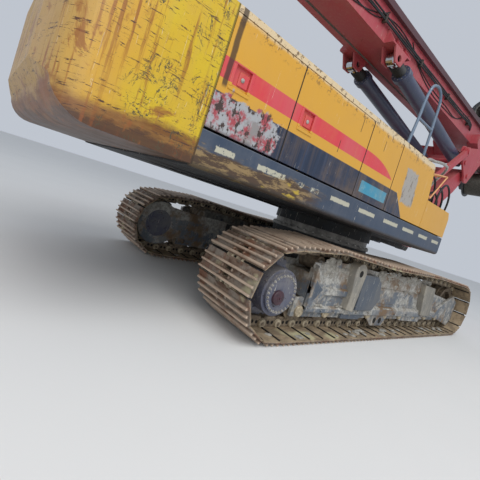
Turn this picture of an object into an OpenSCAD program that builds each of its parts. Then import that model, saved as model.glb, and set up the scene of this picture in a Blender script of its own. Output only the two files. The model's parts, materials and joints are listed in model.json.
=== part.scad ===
// Rotary piling rig on telescoping tracks, parked with its mast laid back over the house.
// X points forward, Y to the left, Z up, and the origin is on the ground under the middle of the box.

/* [Tracks] */
// Distance of each wheel hub from the slew axis
hub_reach = 2420; // [2200:10:2700]
// Distance of each track's middle from the centre line
track_y = 1276; // [1200:2:1500]
// Width of a shoe
shoe_w = 800; // [600:10:900]
// Number of shoes on each track
shoe_count = 53; // [49:1:57]
// Radius at the chain pins round the wheels
pin_r = 391; // [370:1:410]
// Height of the links from the pins out to the shoes
link_out = 40; // [30:1:50]
// Height of the links from the pins in to the rollers
link_in = 65; // [50:1:75]
// Thickness of a shoe's plate
shoe_t = 17; // [12:1:24]
// Height of a grouser on its shoe
grouser_h = 32; // [20:1:45]
// Gap between the two rails of links
link_gap = 90; // [70:2:120]
// Width of a rail of links
link_w = 55; // [40:1:70]
// Radius of a lower roller
roller_r = 112; // [95:1:125]
// Number of lower rollers on each side
roller_count = 9; // [7:1:11]
// Radius of an upper roller
carrier_r = 85; // [70:1:95]
// Teeth on a sprocket
tooth_count = 21; // [19:2:25]
// Inner face of a track frame from its middle
frame_in = 186; // [170:2:210]
// Outer face of a track frame from its middle
frame_out = 178; // [160:2:200]
// Radius of the drive motor's mounting ring
drive_ring_r = 330; // [300:5:350]
// Radius of the final drive's outer cover
drive_cover_r = 195; // [170:5:220]

/* [Carbody and turntable] */
// Half length of the carbody's box
carbody_x = 1150; // [1000:10:1300]
// Half width of the carbody's box
carbody_y = 700; // [600:10:800]
// Underside of the carbody above the ground
carbody_z = 400; // [330:10:480]
// Top of the carbody above the ground
carbody_top = 1010; // [960:10:1040]
// Width of each telescoping cross beam
beam_w = 420; // [340:10:480]
// Outer radius of the slewing bearing
ring_r = 830; // [760:10:900]
// Bore radius of the slewing bearing
ring_bore = 640; // [560:10:700]
// Height of the lower ring of the slewing bearing
ring_h = 130; // [100:5:160]

/* [House] */
// Half width of the house
house_y = 1500; // [1400:10:1600]
// Underside of the skirts above the ground
skirt_z = 1300; // [1290:2:1320]
// Height of a skirt
skirt_h = 274; // [240:2:300]
// Gap between the skirts and the panels over them
sill_gap = 14; // [8:1:24]
// Height of the roof's edge above the ground
roof_z = 2404; // [2300:5:2500]
// Thickness of the roof over its edge
roof_t = 46; // [35:1:80]
// Thickness of a door or panel
panel_t = 38; // [25:1:50]
// Gap round a door
door_gap = 8; // [6:1:14]
// Front face of the counterweight from the slew axis
cw_x = -3640; // [-3800:5:-3500]
// Depth of the counterweight
cw_depth = 1010; // [850:10:1150]
// Joint between the first and the second right door
seam_doors = -2876; // [-2950:2:-2800]
// Joint between the second right door and the tanks
seam_tank = -1700; // [-1800:2:-1600]
// Joint between the left door and the left panels
seam_left = -2400; // [-2500:5:-2300]
// Joint between the two tanks
seam_mid = -986; // [-1050:2:-900]
// Front of the tanks at their top
tank_front = 0; // [-60:2:60]
// Lean of the tanks' front edge
tank_lean = 90; // [0:5:140]
// Front end of the skirts and the right front box
nose_x = 1015; // [950:5:1080]
// Height of the right front box's top above the ground
box_z = 1978; // [1850:2:2100]
// Inner face of the tanks from the centre line
tank_in = 640; // [600:10:760]

/* [Cab] */
// Rear of the cab from the slew axis
cab_x = -700; // [-760:10:-640]
// Length of the cab
cab_len = 1800; // [1700:10:1840]
// Inner side of the cab from the centre line
cab_in = 580; // [570:5:640]
// Height of the cab
cab_h = 1600; // [1500:10:1700]
// Thickness of the cab's walls
cab_t = 50; // [40:1:60]
// Thickness of the panes
glass_t = 8; // [5:1:12]

/* [Boom and links] */
// Boom foot pin from the slew axis
foot_x = 1900; // [1880:5:1940]
// Boom foot pin above the ground
foot_z = 1650; // [1640:5:1700]
// Length of the boom between its pins
boom_len = 2600; // [2550:10:2650]
// Angle of the boom over the horizontal
boom_a = 40; // [38:1:42]
// Strut pins behind the boom pins
strut_dx = 570; // [540:5:600]
// Strut pins above the boom pins
strut_dz = 400; // [380:5:430]
// Inner face of the cheek plates from the centre line
cheek_y = 520; // [514:1:530]
// Thickness of the cheek plates
cheek_t = 40; // [30:1:45]
// Radius of the main pins
pin_main = 55; // [45:1:65]

/* [Mast] */
// Mast pin from the slew axis
mast_x = 4450; // [4400:5:4500]
// Mast pin above the ground
mast_z = 4000; // [3980:5:4020]
// Underside of the laid-back mast above its pin
mast_lift = 180; // [170:2:190]
// Half width of the mast's box
mast_y = 335; // [320:1:350]
// Depth of the mast's box
mast_d = 460; // [430:5:520]
// Wall of the mast's box
mast_t = 16; // [12:1:20]
// Half width over the rails
rail_y = 400; // [390:1:420]
// Width of a rail
rail_w = 140; // [110:2:160]
// Height of a rail over the box
rail_h = 100; // [80:2:120]
// Length of the mast below its pin
mast_low = 3200; // [3100:10:3250]
// Length of the mast above its pin
mast_high = 16200; // [15000:50:17000]
// Joint of the two mast sections above the pin
mast_joint = 6000; // [5600:50:6400]
// Kelly axis above the rails
kelly_lift = 750; // [720:5:800]

/* [Cylinders] */
// Outer radius of a mast cylinder
mcyl_r = 132; // [120:1:134]
// Distance of the mast cylinders from the centre line
mcyl_y = 370; // [365:1:375]
// Mast cylinder's eye behind the mast pin
eye_back = 4550; // [4500:10:4600]
// Mast cylinder's eye above the mast pin
eye_up = 60; // [50:2:66]
// Mast cylinder's foot pin behind the mast pin
base_back = 900; // [880:5:920]
// Mast cylinder's foot pin below the mast pin
base_down = 460; // [450:5:470]
// Outer radius of a luffing cylinder
lcyl_r = 95; // [80:1:105]
// Distance of the luffing cylinders from the centre line
lcyl_y = 250; // [240:1:260]
// Luffing cylinder's foot pin ahead of the boom's foot pin
lcyl_dx = 550; // [530:5:570]
// Luffing cylinder's foot pin below the boom's foot pin
lcyl_dz = 320; // [310:2:330]
// Luffing cylinder's eye along the boom from its foot pin
lcyl_along = 1700; // [1650:10:1750]
// Luffing cylinder's eye below the boom's middle line
lcyl_drop = 352; // [346:1:360]
// Bore radius of the drive sleeve for the kelly bar
sleeve_bore = 205; // [180:1:210]
// Outer radius of the drive sleeve
sleeve_r = 240; // [232:1:250]
// Length of the drive sleeve
sleeve_len = 1500; // [1350:10:1600]
// Reach of the drive sleeve behind the gearbox
sleeve_back = 160; // [120:5:200]
// Bolt circle of the casing driver's flange
flange_pcd = 580; // [560:5:620]
// Bolts in the casing driver's flange
flange_count = 12; // [8:1:16]
// Radius of those bolts' holes
flange_hole_r = 13; // [10:0.5:15]
// Stroke of the crowd cylinder
crowd_stroke = 4200; // [4000:50:4400]

/* [Hidden] */

// Clearances: one for a running fit, one for pieces that swing past each other
run = 0.4;
swing = 8;
// Slack under the chain at the upper rollers
slack = 4;

// Track derived values
tip_r = pin_r + link_out + shoe_t + grouser_h;
hub_z = tip_r;
loop_len = 4 * hub_reach + 2 * PI * pin_r;
pitch = loop_len / shoe_count;
rail_top = hub_z - pin_r + link_in;
roller_z = rail_top + roller_r;
// Half the angle between two pins on a wheel, and the tread that its straight links roll on
link_turn = asin(pitch / 2 / pin_r);
wheel_r = (pin_r - link_in) * cos(link_turn) - 1;
// Upper run: distance from the slew axis, height over the wheels' tangent
sag = [[-hub_reach, 0], [-1700, 62], [-500, 22], [1000, 46], [hub_reach, 0]];
carrier_x = [-1700, 1000];
flange_h = 22;
rail_out = link_gap / 2 + link_w;
frame_low = roller_z + roller_r + flange_h + swing;
frame_top = hub_z + pin_r - link_in - 2 * carrier_r + 36;
frame_rear = -hub_reach + drive_ring_r + 210;

// House derived values
sill_z = skirt_z + skirt_h + sill_gap;
floor_t = 26;
deck_z = skirt_z;
deck_t = 24;
skirt_t = 60;
race_z = carbody_top + ring_h + run;
panel_top = roof_z - door_gap;
hood_y = house_y - 450;
hood_z = roof_z + roof_t + 140;
pipe = [seam_tank - 350, -300];
pipe_r = 75;
pipe_h = 420;
girder_y = 360;
girder_t = 30;

// Link derived values: each point is [x, z]
foot = [foot_x, foot_z];
boom_dir = [cos(boom_a), sin(boom_a)];
knee = foot + boom_len * boom_dir;
strut_foot = foot + [-strut_dx, strut_dz];
strut_head = knee + [-strut_dx, strut_dz];
mast_pin = [mast_x, mast_z];
mcyl_base = mast_pin + [-base_back, -base_down];
mcyl_eye = mast_pin + [-eye_back, eye_up];
lcyl_base = foot + [lcyl_dx, -lcyl_dz];
lcyl_eye = foot + lcyl_along * boom_dir + lcyl_drop * [boom_dir[1], -boom_dir[0]];
strut_w = 78;
strut_y = cheek_y + cheek_t + swing;
hub_w = cheek_y - swing;
brace_r = 90;

// Mast derived values
mast_bot = mast_z + mast_lift;
mast_top = mast_bot + mast_d;
rail_z = mast_top + rail_h;
kelly_z = rail_z + kelly_lift;
mast_foot_x = mast_x + mast_low;
mast_end_x = mast_x - mast_high;
head_len = 700;
carriage_len = 1700;
carriage_x = mast_foot_x - 2700;
crowd_r = 85;
crowd_rod_r = 50;

// Whole length, which sets the place of the slew axis over the origin
reach_front = mast_foot_x;
reach_rear = mast_end_x - head_len;
slew_x = -(reach_front + reach_rear) / 2;

yellow = "#E3B022";
blue = "#4A5866";
red = "#A8393B";
steel = "#8B8D8C";
mud = "#8C7C6A";
dark = "#3B3E42";

// Moves a piece from the slew axis to the origin of the whole rig
module rig() translate([slew_x, 0, 0]) children();

// The children and their mirror image on the other side
module both_sides() {
    children();
    mirror([0, 1, 0]) children();
}

// A side-view outline drawn across the rig from y0 to y1
module across(y0, y1, pts) translate([0, y1, 0]) rotate([90, 0, 0])
    linear_extrude(y1 - y0) polygon(pts);

// A round bar across the rig at p
module bar(p, r, y0, y1) translate([p[0], y1, p[1]]) rotate([90, 0, 0])
    cylinder(h = y1 - y0, r = r, $fn = 48);

// A round bar from p towards q in the side view, from distance a to distance b
module shaft(p, q, r, y, a, b) translate([p[0], y, p[1]])
    rotate([0, atan2(q[0] - p[0], q[1] - p[1]), 0]) translate([0, 0, a])
    cylinder(h = b - a, r = r, $fn = 48);

// A box between two corners
module block(a, b) translate(a) cube(b - a);

// Points of an arc
function arc(c, r, a0, a1, n) =
    [for (i = [0:n]) c + r * [cos(a0 + (a1 - a0) * i / n), sin(a0 + (a1 - a0) * i / n)]];

// A rectangle with round corners
function round_rect(a, b, r, n = 4) = concat(
    arc([b[0] - r, b[1] - r], r, 0, 90, n), arc([a[0] + r, b[1] - r], r, 90, 180, n),
    arc([a[0] + r, a[1] + r], r, 180, 270, n), arc([b[0] - r, a[1] + r], r, 270, 360, n));

// A point at distance a along the link from p to q and b to its left
function beside(p, q, a, b) = let (u = (q - p) / norm(q - p)) p + a * u + b * [-u[1], u[0]];

// Height of an upper roller under the chain
function carrier_z(x) = hub_z + pin_r + lookup(x, sag) - link_in - carrier_r - slack;

// Place of the chain at distance s along its loop, as [x, z, heading]
function loop_at(s) =
    let (straight = 2 * hub_reach, turn = PI * pin_r)
    s < straight ? [s - hub_reach, hub_z - pin_r, 0]
    : s < straight + turn ? let (a = -90 + (s - straight) / pin_r * 180 / PI)
        [hub_reach + pin_r * cos(a), hub_z + pin_r * sin(a), a + 90]
    : s < 2 * straight + turn ? let (x = hub_reach - (s - straight - turn))
        [x, hub_z + pin_r + lookup(x, sag), 180]
    : let (a = 90 + (s - 2 * straight - turn) / pin_r * 180 / PI)
        [-hub_reach + pin_r * cos(a), hub_z + pin_r * sin(a), a + 90];
function chain_pin(k) = let (p = loop_at((k + 0.5) * pitch % loop_len)) [p[0], p[1]];

// One shoe between two pins: its outer face with three grousers, as [along, out] pairs
grouser_shape = [[0.02, 1], [0.1, 1], [0.16, 0], [0.42, 0], [0.46, 1], [0.54, 1],
    [0.58, 0], [0.84, 0], [0.9, 1]];
function shoe_points(p, q) = let (u = (q - p) / norm(q - p), out = [u[1], -u[0]])
    [for (g = grouser_shape) p + g[0] * norm(q - p) * u
        + (link_out + shoe_t + g[1] * grouser_h) * out];
function loop_outline() = [for (k = [0:shoe_count - 1]) each
    shoe_points(chain_pin(k), chain_pin((k + 1) % shoe_count))];
function loop_offset(d) = [for (k = [0:shoe_count - 1])
    let (p = chain_pin(k), q = chain_pin((k + 1) % shoe_count), o = chain_pin((k + shoe_count - 1)
        % shoe_count), u = (q - o) / norm(q - o)) p + d * [u[1], -u[0]]];

// A closed band of the loop between two offsets from the pins
module loop_band(w, y, d_in, d_out) translate([0, y + w / 2, 0]) rotate([90, 0, 0])
    linear_extrude(w) difference() {
        polygon(d_out > link_out ? loop_outline() : loop_offset(d_out));
        polygon(loop_offset(d_in));
    }

// One whole track: the shoes and the two rails of links
module track(y) color(mud) rig() {
    loop_band(shoe_w, y, link_out, link_out + shoe_t);
    for (s = [-1, 1])
        loop_band(link_w, y + s * (link_gap + link_w) / 2, -link_in, link_out + 1 - 1);
}
module track_right() track(-track_y);
module track_left() track(track_y);

// Drive sprocket with its final drive, drawn for the left side
module sprocket(y) color(mud) rig() translate([-hub_reach, y, hub_z]) rotate([-90, 0, 0]) {
    tooth_r = pin_r - 22;
    difference() {
        union() {
            translate([0, 0, -36]) linear_extrude(72) difference() {
                circle(r = tooth_r, $fn = 96);
                for (i = [0:tooth_count - 1]) rotate(i * 360 / tooth_count)
                    translate([tooth_r + 8, 0]) circle(r = 34, $fn = 16);
            }
            translate([0, 0, -frame_in]) cylinder(h = frame_in, r = 205, $fn = 64);
            cylinder(h = 150, r = 262, $fn = 64);
            translate([0, 0, 150]) cylinder(h = 150, r = 225, $fn = 64);
            translate([0, 0, 300]) cylinder(h = 28, r = drive_cover_r, $fn = 64);
        }
        for (i = [0:11]) rotate(i * 30) translate([235, 0, 120]) cylinder(h = 60, r = 9, $fn = 16);
    }
}
module sprocket_left() sprocket(track_y);
module sprocket_right() mirror([0, 1, 0]) sprocket(track_y);

// Front idler with its axle
module idler(y) color(mud) rig() translate([hub_reach, y, hub_z]) rotate([-90, 0, 0])
    rotate_extrude($fn = 96) polygon([[0, -150], [60, -150], [60, -90], [110, -90], [110, -60],
        [wheel_r - 60, -40], [wheel_r - 60, -105], [wheel_r, -105], [wheel_r, -44],
        [wheel_r + 34, -38], [wheel_r + 34, 38], [wheel_r, 44], [wheel_r, 105],
        [wheel_r - 60, 105], [wheel_r - 60, 40], [110, 60], [110, 90], [60, 90], [60, 150],
        [0, 150]]);
module idler_left() idler(track_y);
module idler_right() mirror([0, 1, 0]) idler(track_y);

// Lower rollers between the wheels and the upper rollers that carry the chain
roller_span = 2 * hub_reach - 2 * 500;
module rollers(y) color(mud) rig() {
    for (i = [0:roller_count - 1])
        translate([-roller_span / 2 + i * roller_span / (roller_count - 1), y, roller_z])
            rotate([-90, 0, 0]) rotate_extrude($fn = 48) polygon([[0, -150], [38, -150],
                [38, -rail_out - 26], [roller_r + flange_h, -rail_out - 20],
                [roller_r + flange_h, -rail_out - 5], [roller_r, -rail_out - 2],
                [roller_r, -link_gap / 2 + 1], [70, -40], [70, 40], [roller_r, link_gap / 2 - 1],
                [roller_r, rail_out + 2], [roller_r + flange_h, rail_out + 5],
                [roller_r + flange_h, rail_out + 20], [38, rail_out + 26], [38, 150], [0, 150]]);
    for (x = carrier_x)
        translate([x, y, carrier_z(x)])
            rotate([-90, 0, 0]) {
                cylinder(h = 240, r = carrier_r, center = true, $fn = 48);
                cylinder(h = 300, r = 40, center = true, $fn = 32);
            }
}
module rollers_left() rollers(track_y);
module rollers_right() mirror([0, 1, 0]) rollers(track_y);

// Track frame: a box girder with side guards, a drive ring behind and an idler fork in front
module track_frame(y) color(blue) rig() translate([0, y, 0]) {
    box_in = -frame_in;
    box_out = frame_out;
    fork_x = hub_reach + 130;
    difference() {
        union() {
            across(box_in, box_out, [[frame_rear, frame_low], [1700, frame_low],
                [1900, frame_low + 60], [1900, frame_top - 60], [1500, frame_top],
                [frame_rear, frame_top]]);
            across(box_out - 30, box_out, [[frame_rear, frame_low], [frame_rear, 740],
                [-1500, 800], [-1200, 856], [-350, 830], [0, 780], [1050, 730], [1500, 640],
                [1900, frame_low + 90], [1700, frame_low]]);
            across(box_in, box_in + 30, [[frame_rear, frame_low], [frame_rear, 740],
                [1050, 740], [1600, 640], [1700, frame_low]]);
            for (f = [[box_in, box_in + 34], [box_out - 34, box_out]])
                across(f[0], f[1], [[1600, frame_low + 10], [fork_x, hub_z - 90],
                    [fork_x, hub_z + 90], [1600, frame_top - 10]]);
            for (s = [-1, 1]) across(s > 0 ? 156 : -190, s > 0 ? 190 : -156,
                [[-roller_span / 2 - 110, roller_z - 60], [roller_span / 2 + 110, roller_z - 60],
                [roller_span / 2 + 110, frame_low + 4], [-roller_span / 2 - 110, frame_low + 4]]);
            across(box_in, box_in + 50, concat(arc([-hub_reach, hub_z], drive_ring_r, 60, 300, 24),
                [[frame_rear + 40, frame_low], [frame_rear + 40, frame_top + 60]]));
            for (x = carrier_x) for (s = [-1, 1])
                across(s > 0 ? 126 : -160, s > 0 ? 160 : -126, [[x - 90, frame_top - 20],
                    [x + 90, frame_top - 20], [x + 50, hub_z + pin_r + lookup(x, sag) - 110],
                    [x - 50, hub_z + pin_r + lookup(x, sag) - 110]]);
        }
        bar([-hub_reach, hub_z], 205 + run, box_in - 10, box_in + 60);
        bar([hub_reach, hub_z], 60 + run, -240, 240);
        for (i = [0:roller_count - 1])
            bar([-roller_span / 2 + i * roller_span / (roller_count - 1), roller_z], 38 + run,
                -240, 240);
        for (x = carrier_x)
            bar([x, carrier_z(x)], 40 + run,
                -240, 240);
    }
}
module track_frame_left() track_frame(track_y);
module track_frame_right() mirror([0, 1, 0]) track_frame(track_y);

// Carbody: the middle box, its cross beams out to the track frames and the bearing's seat
module carbody() color(blue) rig() {
    reach = track_y - frame_in;
    difference() {
        union() {
            across(-carbody_y, carbody_y, [[-carbody_x, carbody_z + 60],
                [-carbody_x + 80, carbody_z], [carbody_x - 80, carbody_z],
                [carbody_x, carbody_z + 60], [carbody_x, 760], [ring_r - 60, 900],
                [-ring_r + 60, 900], [-carbody_x, 760]]);
            for (x = [-carbody_x + beam_w / 2, carbody_x - beam_w / 2])
                block([x - beam_w / 2, -reach, 430], [x + beam_w / 2, reach, 720]);
            translate([0, 0, 760]) cylinder(h = carbody_top - 760, r = ring_r - 20, $fn = 96);
        }
        translate([0, 0, 600]) cylinder(h = 600, r = ring_bore - 60, $fn = 64);
        block([-carbody_x + 40, -carbody_y + 40, carbody_z + 40],
            [carbody_x - 40, carbody_y - 40, 640]);
    }
}

// Lower ring of the slewing bearing with its bolts' flange
module slew_ring() color(steel) rig() translate([0, 0, carbody_top]) difference() {
    union() {
        cylinder(h = 40, r = ring_r, $fn = 96);
        cylinder(h = ring_h, r = ring_r - 45, $fn = 96);
    }
    translate([0, 0, -1]) cylinder(h = ring_h + 2, r = ring_bore, $fn = 96);
}

// Deck: bottom plate, floor, girders, cross walls and the upper ring of the bearing
module deck() color(blue) rig() {
    rear = cw_x;
    out = house_y - skirt_t;
    floor_z = sill_z - floor_t;
    difference() {
        union() {
            translate([0, 0, race_z]) cylinder(h = deck_z - race_z + 1, r = ring_r - 20, $fn = 96);
            block([rear, -out, deck_z], [nose_x - 40, out, deck_z + deck_t]);
            block([rear, -out, floor_z], [nose_x - 40, out, sill_z]);
            for (x = [rear, -2900, seam_tank, seam_mid, -260, 460, nose_x - 70])
                block([x, -out, deck_z + 1], [x + 30, out, floor_z + 1]);
            for (s = [-1, 1]) across(s > 0 ? girder_y : -girder_y - girder_t,
                s > 0 ? girder_y + girder_t : -girder_y, concat([[rear, deck_z + 1]],
                arc(lcyl_base, 110, -70, 80, 6), [[foot_x - 260, foot_z - 210], [nose_x, 1720],
                [-1200, 1720], [-1500, sill_z], [rear, sill_z]]));
            block([nose_x - 60, -girder_y - 5, deck_z], [lcyl_base[0] - 130, girder_y + 5,
                deck_z + deck_t]);
        }
        translate([0, 0, race_z - 1]) cylinder(h = deck_z + deck_t - race_z + 3, r = ring_bore - 140,
            $fn = 64);
    }
    bar(lcyl_base, pin_main, -girder_y - girder_t, girder_y + girder_t);
}

// Skirts: the rounded side channels under the panels
module skirts() color(blue) rig() both_sides()
    translate([cw_x, 0, 0]) rotate([90, 0, 90]) linear_extrude(nose_x - cw_x)
        polygon(concat(arc([-house_y + 46, skirt_z + 46], 46, 270, 180, 6),
            [[-house_y, skirt_z + skirt_h - 8], [-house_y + 8, skirt_z + skirt_h],
            [-house_y + skirt_t, skirt_z + skirt_h], [-house_y + skirt_t, skirt_z]]));

// Counterweight: a casting with round corners and a bevelled lower edge
module counterweight() color(yellow) rig() {
    r_plan = 260;
    low = skirt_z + 14;
    top = roof_z + roof_t;
    back = cw_x - cw_depth;
    intersection() {
        translate([0, 0, low]) linear_extrude(top - low) polygon(concat(
            [[cw_x, -house_y], [cw_x, house_y]],
            arc([back + r_plan + 60, house_y - r_plan], r_plan, 90, 168, 8),
            [[back, 900], [back, -900]],
            arc([back + r_plan + 60, -house_y + r_plan], r_plan, 192, 270, 8)));
        across(-house_y - 1, house_y + 1, concat([[cw_x, low], [cw_x, top]],
            arc([back + 90, top - 90], 90, 90, 180, 6),
            [[back, low + 330]], arc([back + 330, low + 250], 250, 190, 270, 6)));
    }
}

// Engine and pumps as one closed mass
module engine() color(dark) rig() block([cw_x + 190, 80 - tank_in, sill_z],
    [seam_tank - 450, tank_in - 20, roof_z - 174]);

// A hinge rod in the gap at a door's edge, with a web to the post or panel that holds it
hinge_r = door_gap / 2 - run;
module hinge(x, y, z0, z1, to) {
    w = 1.2;
    translate([x, y, z0]) cylinder(h = z1 - z0, r = hinge_r, $fn = 24);
    block([min(x - w, x + to[0]), min(y - w, y + to[1]), z0],
        [max(x + w, x + to[0]), max(y + w, y + to[1]), z1]);
}

// A flat side door on the right, from its latch's end at x0 to its hinged end at x1
latch_w = 150;
module side_door(x0, x1) difference() {
    block([x0, -house_y, sill_z + 4], [x1, -house_y + panel_t, panel_top]);
    translate([x0 + 110, -house_y - 1, sill_z + 337]) cube([latch_w, 19, latch_w + 10]);
}
module door_right_rear() color(yellow) rig()
    side_door(cw_x + door_gap / 2, seam_doors - door_gap / 2);
module door_right_front() color(yellow) rig()
    side_door(seam_doors + door_gap, seam_tank - door_gap / 2);
module door_left_rear() color(yellow) rig() mirror([0, 1, 0])
    side_door(cw_x + door_gap / 2, seam_left - door_gap / 2);

// Tank housing behind the front box on the right
module tank_housing() color(yellow) rig() {
    hinge(seam_tank, -house_y, sill_z + 4, panel_top, [door_gap, 0]);
    tank_shell();
}
module tank_shell() difference() {
    across(-house_y, -tank_in, concat([[seam_tank + door_gap / 2, sill_z], [tank_front + tank_lean, sill_z],
        [tank_front + tank_lean, sill_z + 396]],
        arc([tank_front - 60, roof_z + roof_t - 60], 60, 0, 90, 4),
        [[seam_tank + door_gap / 2, roof_z + roof_t]]));
    across(-house_y + panel_t, -tank_in - panel_t, [[seam_tank + panel_t, sill_z - 1],
        [tank_front - panel_t, sill_z - 1], [tank_front - panel_t, roof_z - 30],
        [seam_tank + panel_t, roof_z - 30]]);
    block([seam_mid - 4, -house_y - 1, sill_z - 1], [seam_mid + 4, -house_y + 6, roof_z]);
}

// Box in front of the tanks, lower and with a sloped front corner
module front_box() color(yellow) rig() difference() {
    across(-house_y, -tank_in, [[tank_front + tank_lean + door_gap, sill_z], [nose_x, sill_z],
        [nose_x, box_z - 90], [nose_x - 60, box_z], [tank_front + tank_lean + door_gap, box_z]]);
    across(-house_y + panel_t, -tank_in - panel_t, [[tank_front + tank_lean + 60, sill_z - 1],
        [nose_x - panel_t, sill_z - 1], [nose_x - panel_t, box_z - 110],
        [nose_x - 90, box_z - panel_t], [tank_front + tank_lean + 60, box_z - panel_t]]);
}

// Fixed panels behind the cab on the left
module housing_left() color(yellow) rig() {
    x0 = seam_left + door_gap / 2;
    x1 = cab_x - 20;
    difference() {
        block([x0, tank_in, sill_z], [x1, house_y, roof_z + roof_t]);
        block([x0 + panel_t, tank_in + panel_t, sill_z - 1], [x1 - panel_t, house_y - panel_t,
            roof_z - 30]);
    }
    hinge(seam_left, house_y, sill_z + 4, panel_top, [door_gap, 0]);
}

// Hood over the engine, with the raised middle, the grilles and the exhaust
module hood() color(yellow) rig() {
    post_y = -house_y + panel_t + swing;
    block([seam_doors - 30, post_y, sill_z], [seam_doors + 30, post_y + 50, roof_z + 1]);
    hinge(seam_doors, -house_y, sill_z + 4, panel_top, [0, panel_t + swing + 1]);
    hood_shell();
}
module hood_shell() difference() {
    union() {
        block([cw_x, -house_y, roof_z], [seam_tank, house_y, roof_z + roof_t]);
        block([cw_x + 160, -hood_y, roof_z + roof_t - 1], [seam_tank - 120, hood_y, hood_z]);
        block([seam_tank - 30, -tank_in, sill_z], [seam_tank, tank_in, roof_z + 1]);
        translate([pipe[0], pipe[1], hood_z - 10]) cylinder(h = pipe_h, r = pipe_r, $fn = 32);
    }
    block([cw_x + 200, 40 - hood_y, roof_z - 1], [seam_tank - 160, hood_y - 40, hood_z - 30]);
    block([cw_x - 1, 40 - hood_y, roof_z - 1], [cw_x + 201, hood_y - 40, roof_z + 10]);
    translate([pipe[0], pipe[1], hood_z + pipe_h / 2]) cylinder(h = pipe_h, r = pipe_r - 13, $fn = 32);
    block([seam_left, tank_in, roof_z - 1], [seam_tank + 1, house_y + 1, roof_z + roof_t + 1]);
}

// Cab: outline of its side with the raked front
mount_h = 20;
cab_z = sill_z + mount_h;
cab_front = cab_x + cab_len;
function cab_side(d) = [[cab_x + d, cab_z + d], [cab_front - d, cab_z + d],
    [cab_front - d, cab_z + 560], [cab_front - 150 - d, cab_z + cab_h - 120 - d],
    [cab_front - 260 - d, cab_z + cab_h - d], [cab_x + d, cab_z + cab_h - d]];
door_x0 = cab_x + 110;
door_x1 = cab_x + 960;
door_z0 = cab_z + 90;
door_z1 = cab_z + cab_h - 130;
module cab_shell() color(yellow) rig() {
    for (x = [cab_x + 160, cab_front - 160], y = [cab_in + 120, house_y - 120])
        translate([x, y, sill_z]) cylinder(h = mount_h + 1, r = 55, $fn = 32);
    hinge(door_x0 + door_gap / 2, house_y, door_z0 + door_gap, door_z1 - door_gap, [-door_gap, 0]);
    cab_walls();
}
module cab_walls() difference() {
    across(cab_in, house_y, cab_side(0));
    across(cab_in + cab_t, house_y - cab_t, cab_side(cab_t));
    block([door_x0, house_y - cab_t - 1, door_z0], [door_x1, house_y + 1, door_z1]);
    for (w = [[cab_x + 1030, cab_front - 230]])
        block([w[0], house_y - cab_t - 1, cab_z + 620], [w[1], house_y + 1, door_z1]);
    block([cab_x + 140, cab_in - 1, cab_z + 640], [cab_front - 320, cab_in + cab_t + 1, door_z1]);
    block([cab_x - 1, cab_in + 130, cab_z + 760], [cab_x + cab_t + 1, house_y - 130, door_z1]);
    block([cab_front - 420, cab_in + 90, cab_z + 620], [cab_front + 1, house_y - 90,
        cab_z + cab_h - 190]);
    block([cab_front - cab_t - 1, cab_in + 90, cab_z + 130], [cab_front + 1, house_y - 90,
        cab_z + 520]);
    block([cab_x + 500, cab_in + 150, cab_z + cab_h - cab_t - 1], [cab_x + 1100, house_y - 150,
        cab_z + cab_h + 1]);
}
module pane(a, b) block(a, b);
module cab_glass() color("#9FB4BC") rig() {
    m = (cab_t - glass_t) / 2;
    pane([cab_x + 1030, house_y - cab_t + m, cab_z + 620], [cab_front - 230, house_y - m, door_z1]);
    pane([cab_x + 140, cab_in + m, cab_z + 640], [cab_front - 320, cab_in + cab_t - m, door_z1]);
    pane([cab_x + m, cab_in + 130, cab_z + 760], [cab_x + cab_t - m, house_y - 130, door_z1]);
    across(cab_in + 90, house_y - 90, [[cab_front - m, cab_z + 620],
        [cab_front - 150 * 0.86 - m, cab_z + cab_h - 190],
        [cab_front - 150 * 0.86 - m - glass_t, cab_z + cab_h - 190],
        [cab_front - m - glass_t, cab_z + 620]]);
    pane([cab_front - cab_t + m, cab_in + 90, cab_z + 130], [cab_front - m, house_y - 90,
        cab_z + 520]);
    pane([cab_x + 500, cab_in + 150, cab_z + cab_h - cab_t + m], [cab_x + 1100, house_y - 150,
        cab_z + cab_h - m]);
}
module cab_door() color(yellow) rig() difference() {
    block([door_x0 + door_gap, house_y - cab_t, door_z0 + door_gap], [door_x1 - door_gap, house_y,
        door_z1 - door_gap]);
    block([door_x0 + 80, house_y - cab_t - 1, cab_z + 640], [door_x1 - 80, house_y - cab_t / 2 - 4,
        door_z1 - 80]);
    block([door_x0 + 80, house_y - cab_t / 2 + 4, cab_z + 640], [door_x1 - 80, house_y + 1,
        door_z1 - 80]);
}
module cab_seat() color(dark) rig() {
    y0 = (cab_in + house_y) / 2;
    block([cab_x + 300, y0 - 160, cab_z + cab_t], [cab_x + 700, y0 + 160, cab_z + 300]);
    block([cab_x + 240, y0 - 250, cab_z + 300 - 1], [cab_x + 780, y0 + 250, cab_z + 440]);
    block([cab_x + 190, y0 - 240, cab_z + 380], [cab_x + 330, y0 + 240, cab_z + 1080]);
}

// Handrails along the roof
module handrails() color(steel) rig() {
    top = roof_z + roof_t + 900;
    for (x = [-1600, -900, -200])
        translate([x, -house_y + 120, roof_z + roof_t]) cylinder(h = 900, r = 20, $fn = 24);
    for (z = [top - 450, top])
        translate([-1620, -house_y + 120, z]) rotate([0, 90, 0]) cylinder(h = 1440, r = 19, $fn = 24);
}

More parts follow.
